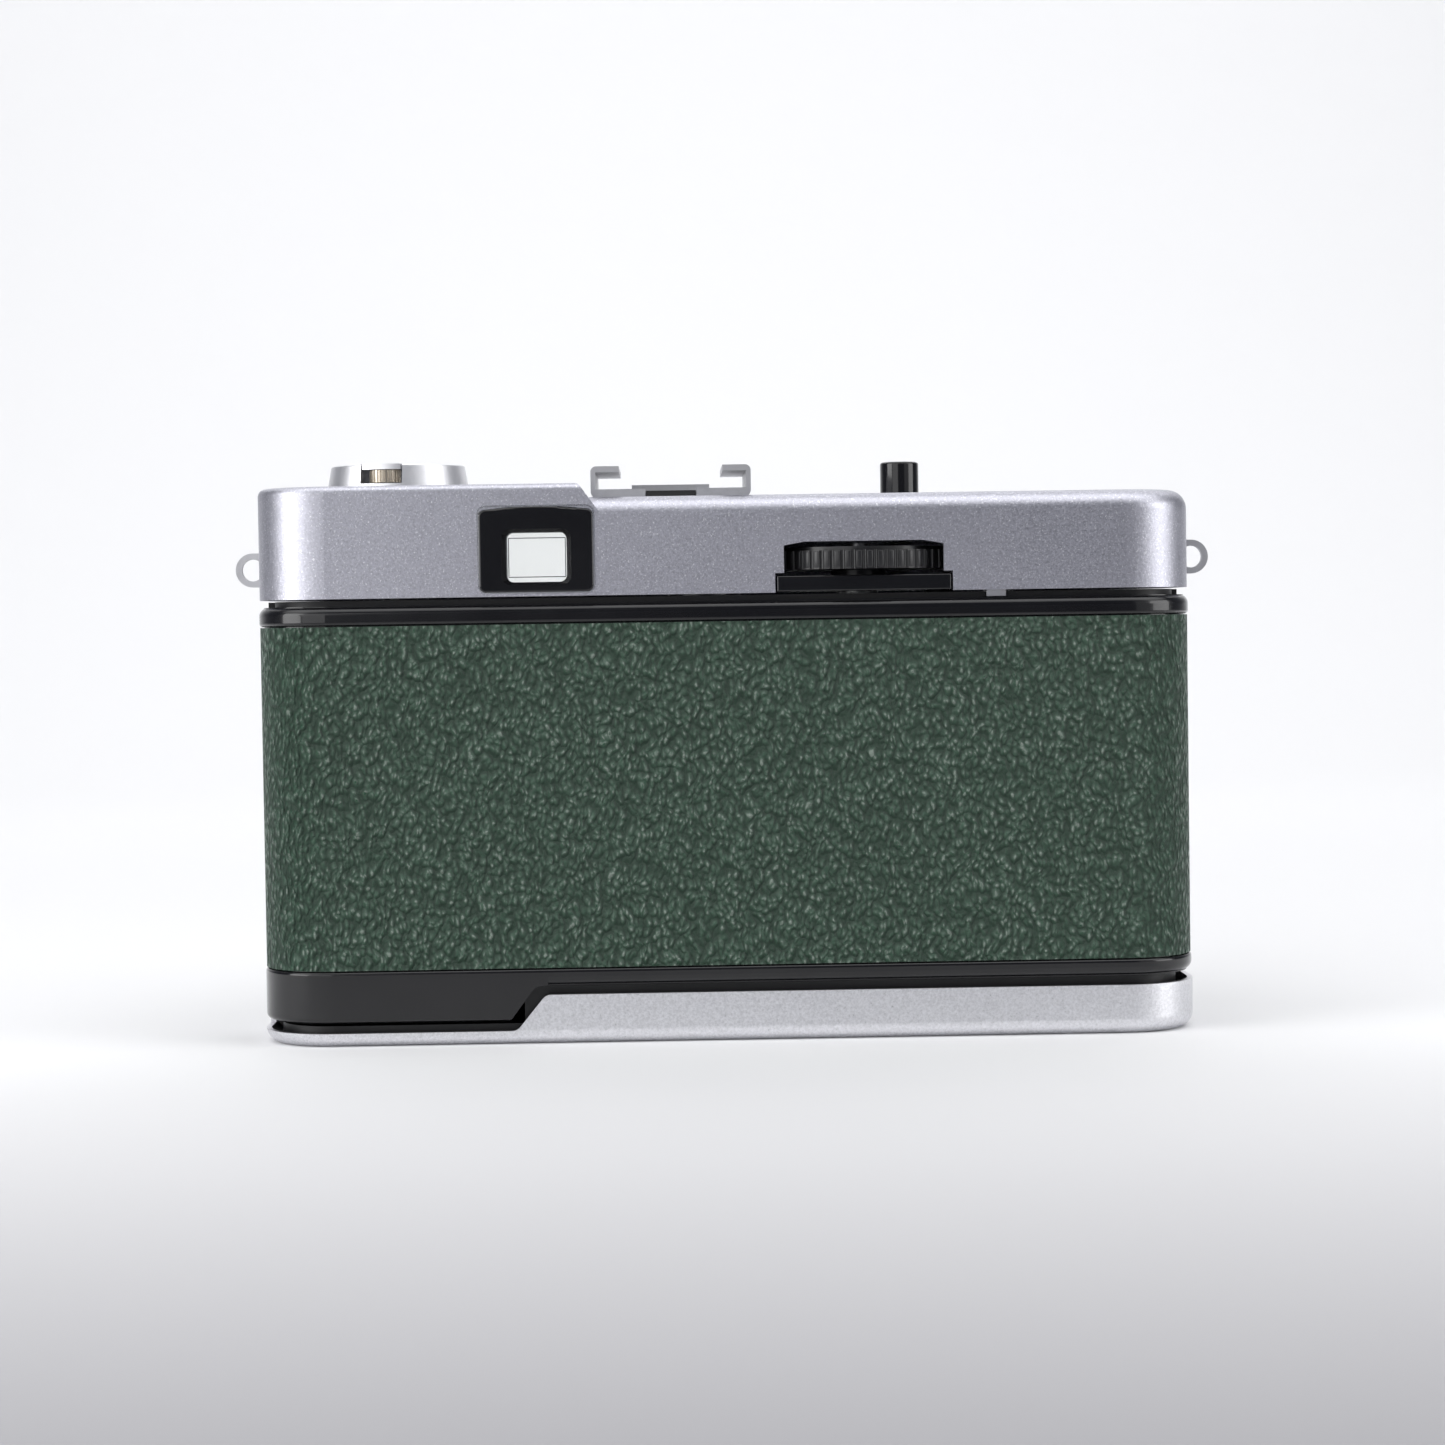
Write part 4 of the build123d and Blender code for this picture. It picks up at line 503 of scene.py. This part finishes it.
def frame_round(width, height, corner, wall, thick, place):
    """An upright rounded frame facing back, of an outer size, a wall and a thickness."""
    bpy.ops.object.select_all(action="DESELECT")
    bpy.ops.mesh.primitive_plane_add(size=1, location=(0, 0, 0), rotation=(math.pi / 2, 0, 0))
    frame_piece = bpy.context.active_object
    frame_piece.scale = (width, height, 1)
    only(frame_piece)
    bpy.ops.object.transform_apply(location=False, rotation=True, scale=True)
    bpy.ops.object.mode_set(mode="EDIT")
    bpy.ops.mesh.select_all(action="SELECT")
    bpy.ops.mesh.bevel(offset=corner, segments=5, affect="VERTICES")
    bpy.ops.mesh.select_all(action="SELECT")
    bpy.ops.mesh.inset(thickness=wall)
    bpy.ops.mesh.delete(type="FACE")
    bpy.ops.object.mode_set(mode="OBJECT")
    wall_made = frame_piece.modifiers.new("thick", "SOLIDIFY")
    wall_made.thickness = thick
    wall_made.offset = 0
    apply_modifiers(frame_piece)
    frame_piece.location = place
    return frame_piece


RIM_PROUD = 0.03 * MM
MARKS_INSIDE = 0.35 * MM
eye_low, eye_high = corners("eyepiece_bezel")
eye = middle("eyepiece_bezel")
cover_back = corners("top_cover")[1].y
rim = frame_round(
    width=eye_high.x - eye_low.x + 0.36 * MM,
    height=eye_high.z - eye_low.z + 0.30 * MM,
    corner=1.0 * MM,
    wall=0.20 * MM,
    thick=0.16 * MM,
    place=(eye.x, cover_back + RIM_PROUD, eye.z),
)
settle(rim, "eyepiece_rim", "camera_body", chrome)

eye_glass = middle("eyepiece_lens")
marks = frame_round(
    width=7.1 * MM,
    height=4.9 * MM,
    corner=0.12 * MM,
    wall=0.10 * MM,
    thick=0.1 * MM,
    place=(eye_glass.x, corners("eyepiece_lens")[0].y - MARKS_INSIDE, eye_glass.z),
)
settle(marks, "finder_frame", "camera_body", matt)

# ---------------------------------------------------------------- shutter button's spring
# A coil of steel wire under the button pushes it back up. It is one round wire wound up a helix with five
# turns.

WELD = 0.001 * MM


def wound(radius, low, half_width, half_height, sides, pitch, turns, steps):
    """A rod with a round or diamond section, wound about the Z axis up a helix, with closed ends."""
    bpy.ops.object.select_all(action="DESELECT")
    bpy.ops.mesh.primitive_circle_add(
        vertices=sides, radius=1, location=(radius, 0, low), rotation=(math.pi / 2, 0, 0)
    )
    rod = bpy.context.active_object
    rod.scale = (half_width, half_height, 1)
    only(rod)
    bpy.ops.object.transform_apply(location=True, rotation=True, scale=True)
    winding = rod.modifiers.new("winding", "SCREW")
    winding.angle = 2 * math.pi
    winding.screw_offset = pitch
    winding.iterations = turns
    winding.steps = steps
    winding.render_steps = steps
    apply_modifiers(rod)
    bpy.ops.object.mode_set(mode="EDIT")
    bpy.ops.mesh.select_mode(type="VERT")
    bpy.ops.mesh.select_all(action="SELECT")
    bpy.ops.mesh.remove_doubles(threshold=WELD)
    bpy.ops.mesh.select_all(action="DESELECT")
    bpy.ops.mesh.select_non_manifold()
    bpy.ops.mesh.edge_face_add()
    bpy.ops.mesh.select_all(action="SELECT")
    bpy.ops.mesh.normals_make_consistent(inside=False)
    bpy.ops.object.mode_set(mode="OBJECT")
    return rod


WIRE_R = 0.18 * MM
COILS = 5
spring_low, spring_high = corners("button_spring")
spring_height = spring_high.z - spring_low.z
foot = Vector((middle("button_spring").x, middle("button_spring").y, spring_low.z))
spring = wound(
    radius=(spring_high.x - spring_low.x) / 2 - WIRE_R,
    low=WIRE_R,
    half_width=WIRE_R,
    half_height=WIRE_R,
    sides=10,
    pitch=(spring_height - 2 * WIRE_R) / COILS,
    turns=COILS,
    steps=24,
)
spring.location = foot
settle(spring, "coil_spring", "camera_body", steel)
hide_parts("button_spring")
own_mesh(spring)

# ---------------------------------------------------------------- threads
# The tripod bush, the cable release socket in the shutter button and the lens's filter ring are cut with V
# threads. Each is one diamond section wound up a helix, with its outer half sunk in the wall.


def thread(name, body, finish, radius, low, pitch, turns, depth, steps, place, turn=(0, 0, 0)):
    """An internal thread about an axis: its V points inwards from a radius."""
    helix = wound(radius, low, depth, pitch / 2, 4, pitch, turns, steps)
    helix.rotation_euler = turn
    helix.location = place
    settle(helix, name, body, finish)


SOCKET_DEPTH = 3.1 * MM
FILTER_INSET = 1.45 * MM
bush = middle("tripod_bush")
thread(
    "tripod_thread",
    "camera_body",
    steel,
    radius=2.62 * MM,
    low=0.9 * MM,
    pitch=1.27 * MM,
    turns=3,
    depth=0.3 * MM,
    steps=48,
    place=(bush.x, bush.y, 0),
)
button = middle("shutter_button")
thread(
    "release_thread",
    "shutter_button",
    moulded,
    radius=1.37 * MM,
    low=0.3 * MM,
    pitch=0.4 * MM,
    turns=6,
    depth=0.13 * MM,
    steps=24,
    place=(button.x, button.y, corners("shutter_button")[1].z - SOCKET_DEPTH),
)
axis_z = middle("lens_barrel").z
thread(
    "filter_thread",
    "camera_body",
    enamel,
    radius=20.62 * MM,
    low=0.25 * MM,
    pitch=0.35 * MM,
    turns=3,
    depth=0.2 * MM,
    steps=96,
    place=(0, corners("lens_barrel")[0].y + FILTER_INSET, axis_z),
    turn=(math.pi / 2, 0, 0),
)

# ---------------------------------------------------------------- the meter window's lenslets
# The ring round the lens is moulded in clear plastic, with rows of small domes that spread light onto the
# meter's cell behind it.


def joined(pieces):
    """Joins pieces into the first of them."""
    bpy.ops.object.select_all(action="DESELECT")
    for piece in pieces:
        piece.select_set(True)
    bpy.context.view_layer.objects.active = pieces[0]
    bpy.ops.object.join()
    return pieces[0]


LENSLET_R = 0.78 * MM
LENSLET_SINK = 0.42 * MM         # how much of each ball's radius lies under the window's face
LENSLET_BITE = 0.02 * MM
ROWS = 6
ROW_PITCH = 1.3 * MM
EDGE_TO_ROW = 0.75 * MM
window_low, window_high = corners("meter_window")
window_r = (window_high.x - window_low.x) / 2
rows = []
for row in range(ROWS):
    row_r = window_r - (EDGE_TO_ROW + row * ROW_PITCH)
    bpy.ops.object.select_all(action="DESELECT")
    bpy.ops.mesh.primitive_uv_sphere_add(segments=8, ring_count=6, radius=LENSLET_R, location=(0, 0, 0))
    dome = bpy.context.active_object
    bpy.ops.object.mode_set(mode="EDIT")
    bpy.ops.mesh.select_all(action="SELECT")
    bpy.ops.mesh.bisect(
        plane_co=(0, 0, LENSLET_SINK), plane_no=(0, 0, 1), use_fill=True, clear_inner=True
    )
    bpy.ops.object.mode_set(mode="OBJECT")
    dome.rotation_euler = (math.pi / 2, 0, 0)
    half_step = row % 2 * ROW_PITCH / (2 * row_r)
    dome.location = (
        row_r * math.cos(half_step),
        window_low.y + LENSLET_SINK - LENSLET_BITE,
        axis_z + row_r * math.sin(half_step),
    )
    only(dome)
    bpy.ops.object.transform_apply(location=True, rotation=True, scale=True)
    repeat_round(dome, round(2 * math.pi * row_r / ROW_PITCH), (0, 0, axis_z), "Y")
    rows.append(dome)
settle(joined(rows), "meter_lenslets", "camera_body", clear)

# ---------------------------------------------------------------- numbers
# The aperture ring, the film speed ring and the counter dial carry plain numbers, printed in thick black
# paint. The scales are this design's own.

paint = Finish("number_paint", Roughness=0.45)
paint.feed("Base Color", paint.place.noise(0.8).between((0.012, 0.012, 0.013), (0.025, 0.025, 0.027)))
PAINT_T = 0.015 * MM


def figure(text, height, placing):
    """Raised flat lettering, laid by a matrix whose local X is along the line and Z is outwards."""
    bpy.ops.object.select_all(action="DESELECT")
    bpy.ops.object.text_add(location=(0, 0, 0))
    letters = bpy.context.active_object
    letters.data.body = text
    letters.data.size = height
    letters.data.align_x = "CENTER"
    letters.data.align_y = "CENTER"
    letters.data.extrude = PAINT_T
    letters.data.resolution_u = 3
    only(letters)
    bpy.ops.object.convert(target="MESH")
    letters = bpy.context.active_object
    letters.matrix_world = placing
    only(letters)
    bpy.ops.object.transform_apply(location=True, rotation=True, scale=True)
    return letters


def on_ring(angle, radius, depth):
    """A place on a ring about the lens, at an angle from the top, read from behind the camera."""
    facing_back = Matrix(((-1, 0, 0, 0), (0, -1, 0, depth), (0, 0, 1, radius), (0, 0, 0, 1)))
    return Matrix.Translation((0, 0, axis_z)) @ Matrix.Rotation(angle, 4, "Y") @ facing_back


def scale_on(node, name, body, numbers, step, height, from_front, under_knurl):
    """Numbers at an even step of degrees round a ring's plain band, centred on the top."""
    low, high = corners(node)
    band_r = (high.x - low.x) / 2 - under_knurl
    made = []
    for n, number in enumerate(numbers):
        angle = math.radians(step) * ((len(numbers) - 1) / 2 - n)
        made.append(figure(number, height, on_ring(angle, band_r, low.y + from_front)))
    settle(joined(made), name, body, paint)


scale_on(
    "aperture_ring",
    "aperture_numbers",
    "aperture_ring",
    "2.8 4 5.6 8 11 16 22".split(),
    step=13,
    height=1.7 * MM,
    from_front=1.15 * MM,
    under_knurl=0.5 * MM,
)
scale_on(
    "film_speed_ring",
    "speed_numbers",
    "speed_ring",
    "25 50 100 200 400".split(),
    step=15,
    height=1.6 * MM,
    from_front=3.6 * MM,
    under_knurl=0.4 * MM,
)

COUNTS = 8
COUNT_STEP = 5
COUNT_H = 1.9 * MM
COUNT_R = 6.2 * MM
dial_top = middle("counter_dial")
dial_top.z = corners("counter_dial")[1].z
at_rim = Matrix(((-1, 0, 0, 0), (0, -1, 0, -COUNT_R), (0, 0, 1, 0), (0, 0, 0, 1)))
counts = []
for n in range(COUNTS):
    spin = Matrix.Rotation(2 * math.pi * n / COUNTS, 4, "Z")
    counts.append(figure(str(COUNT_STEP * n), COUNT_H, Matrix.Translation(dial_top) @ spin @ at_rim))
settle(joined(counts), "counter_numbers", "counter_dial", paint)
